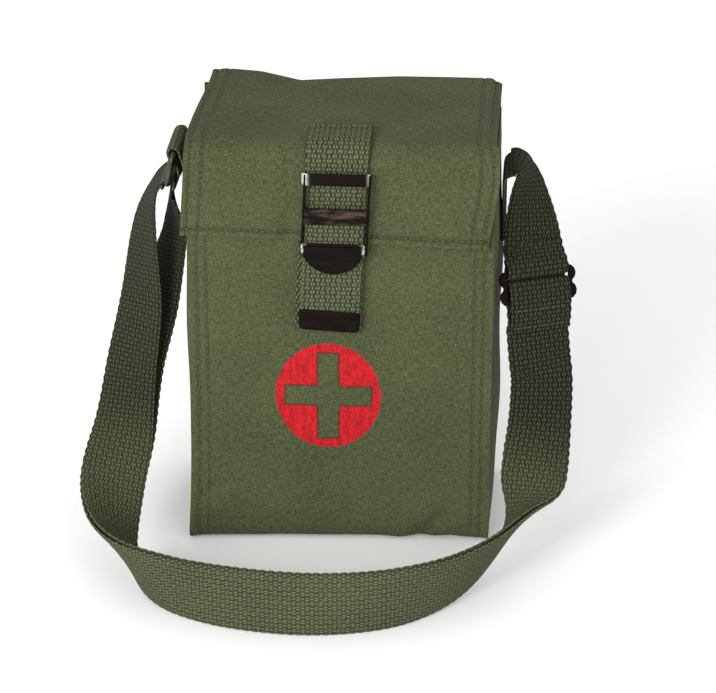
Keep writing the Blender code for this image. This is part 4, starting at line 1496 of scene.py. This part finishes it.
def make_slide_web(name, profile):
    """Webbing across the slide through a profile of (along, out) places in mm, darkened all over
    with painted shade.
    """
    path = smooth_line([(0, along, out) for along, out in profile])
    place = np.array(slide_place)
    path = path @ place[:3, :3].T + place[:3, 3]
    piece, outer, columns, rows = make_webbing(
        name, path, place[:3, 0], STRAP_WIDTH, STRAP_WEB, STRAP_WEBBING,
        painted_shade=np.ones((len(path), 1)),
    )
    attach(piece, "slide")
    return piece, outer, columns, rows


make_slide_web("slide_pass", PASS_PROFILE)
fold, fold_outer, fold_columns, fold_along = make_slide_web("slide_fold_web", FOLD_PROFILE)
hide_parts("slide_fold")
fold_reach = STRAP_WIDTH / 2 - 2 * MM
fold_rows = [cross_row(fold_reach, fold_along[-1] - inset) for inset in (2.5 * MM, 11 * MM)]
sew(
    "slide_fold_stitches", fold_outer, fold_columns, fold_along, fold_rows, "slide",
    lift=-0.12 * MM,
)


# Packed dressings: a folded carton, a paper sleeve, waxed wrappers and foil packets.
# Each is a box whose sides swell and crumple as much as its wrapper lets them.
PACK_CUTS = 23


def make_wrapper(name, dark, light, scale, stretch, roughness, bump, specular=0.3, metallic=0.0):
    """A wrapper's finish: fibres or creases mix its two colours and raise its surface."""
    material, tree, shader = start_material(name, roughness, 0.0, metallic, specular)
    place = tree.nodes.new("ShaderNodeTexCoord").outputs["Object"]
    fibres = noise_node(tree, place, scale, 6, stretch)
    broad = noise_node(tree, place, 40, 3)
    share = math_node(tree, "MULTIPLY_ADD", broad, 0.5, math_node(tree, "MULTIPLY", fibres, 0.8))
    color = mix_colors(tree, remap(tree, share, 0.4, 0.9), dark, light)
    tree.links.new(color, shader.inputs["Base Color"])
    rough = remap(tree, fibres, 0, 1, roughness - 0.1, roughness + 0.1)
    tree.links.new(rough, shader.inputs["Roughness"])
    raise_bump(tree, shader, fibres, bump)
    return material


BOARD = make_wrapper(
    "carton_board", (0.52, 0.49, 0.42), (0.74, 0.72, 0.66), 700, (1, 1, 0.2), 0.7, 0.05 * MM
)
PAPER = make_wrapper(
    "sleeve_paper", (0.40, 0.31, 0.19), (0.60, 0.50, 0.35), 500, (1, 1, 0.3), 0.85, 0.12 * MM
)
WAXED = make_wrapper(
    "waxed_wrap", (0.085, 0.090, 0.045), (0.20, 0.20, 0.11), 160, (1, 1, 1.6), 0.55, 0.6 * MM
)
FOIL = make_wrapper(
    "foil", (0.40, 0.41, 0.42), (0.72, 0.73, 0.74), 220, (1, 2, 1), 0.32, 0.35 * MM, 0.5, 0.9
)


def make_pack(name, node, power, crumple, material):
    """A box with rounded sides: each point of a cube's surface is drawn in until the sum
    of its coordinates to a power is one, then crossed sines crumple it inwards in mm."""
    low, high = (np.array(corner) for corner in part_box(node))
    bm = bmesh.new()
    bmesh.ops.create_cube(bm, size=2)
    bmesh.ops.subdivide_edges(bm, edges=bm.edges, cuts=PACK_CUTS, use_grid_fill=True)
    mesh = bpy.data.meshes.new(name)
    bm.to_mesh(mesh)
    bm.free()
    cube = np.zeros(len(mesh.vertices) * 3)
    mesh.vertices.foreach_get("co", cube)
    cube = cube.reshape(-1, 3)
    inward = (np.abs(cube) ** power).sum(1, keepdims=True) ** (-1 / power)
    points = cube * inward * (high - low) / 2
    x, y, z = (points / MM).T
    wave = np.sin(0.31 * x + 0.23 * z + 0.7) * np.sin(0.37 * z - 0.17 * x + 0.29 * y)
    wave = 0.5 + 0.3 * wave + 0.2 * np.sin(0.83 * x - 0.61 * z + 0.45 * y)
    points -= cube * wave[:, None] * crumple * MM
    mesh.vertices.foreach_set("co", (points + (low + high) / 2).ravel())
    piece = finish_piece(name, mesh, material, 80)
    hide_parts(node)
    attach(piece, "pouch")
    return piece


make_pack("dressing_carton", "bandage_carton", 40, 0.3, BOARD)
make_pack("pad_sleeve", "gauze_pad_sleeve", 16, 0.6, PAPER)
make_pack("packets_of_wipes", "wipe_packets", 9, 1.0, FOIL)
bandage = make_pack("wrapped_bandage", "triangular_bandage_pack", 7, 1.8, WAXED)
dressing = make_pack("wrapped_dressing", "field_dressing", 5, 2.2, WAXED)


# Rolled bandages and tape: gauze, crepe and cloth wound up tight, so the turns show as
# rings on the ends; the tape is wound on a paper core.
ROLL_SIDES = 72
TURN = 1.1 * MM


def make_cloth_roll(name, node, axis, bore, depth, material):
    """A ring carried round its axis: its ends rise and fall as a sine for each turn of
    cloth, and its outside as a slower sine along the axis."""
    low, high = (np.array(corner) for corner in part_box(node))
    middle, size = (low + high) / 2, high - low
    length = size[axis]
    radius = size[1] / 2
    reach = np.arange(bore, radius - depth, TURN / 4)
    rise = length / 2 - depth * (0.5 + 0.5 * np.cos(reach / TURN * 2 * math.pi))
    along = np.linspace(-length / 2 + 1 * MM, length / 2 - 1 * MM, 24)
    outside = radius - depth * (0.4 + 0.4 * np.sin(along / MM * 1.9))
    section = np.concatenate(
        [
            np.stack([reach, -rise], -1),
            np.stack([outside, along], -1),
            np.stack([reach, rise], -1)[::-1],
        ]
    )
    angles = np.arange(ROLL_SIDES) / ROLL_SIDES * 2 * math.pi
    up = np.zeros(3)
    up[axis] = 1
    radial = np.zeros((ROLL_SIDES, 3))
    first, second = [other for other in range(3) if other != axis]
    radial[:, first], radial[:, second] = np.cos(angles), np.sin(angles)
    path = np.tile(middle, (ROLL_SIDES, 1))
    piece = carry_section(name, path, radial, up, section, material, closed=True)
    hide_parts(node)
    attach(piece, "pouch")


GAUZE = make_wrapper(
    "gauze", (0.60, 0.58, 0.52), (0.86, 0.85, 0.80), 900, (0.3, 1, 1), 0.95, 0.25 * MM, 0.1
)
CREPE = make_wrapper(
    "crepe", (0.46, 0.35, 0.23), (0.70, 0.58, 0.42), 800, (1, 0.3, 1), 0.95, 0.3 * MM, 0.1
)
TAPE = make_wrapper(
    "cloth_tape", (0.52, 0.43, 0.29), (0.72, 0.63, 0.47), 1100, (1, 1, 0.3), 0.8, 0.1 * MM, 0.25
)
for node in ("gauze_roll_left", "gauze_roll_right"):
    make_cloth_roll(node.replace("roll", "bandage"), node, 0, 1.4 * MM, 0.5 * MM, GAUZE)
make_cloth_roll("crepe_bandage", "elastic_bandage_roll", 0, 1.6 * MM, 0.5 * MM, CREPE)
make_cloth_roll("wound_tape", "tape_roll", 2, 10 * MM, 0.15 * MM, TAPE)
make_cloth_roll("paper_core", "tape_core", 2, 8 * MM, 0.1 * MM, PAPER)
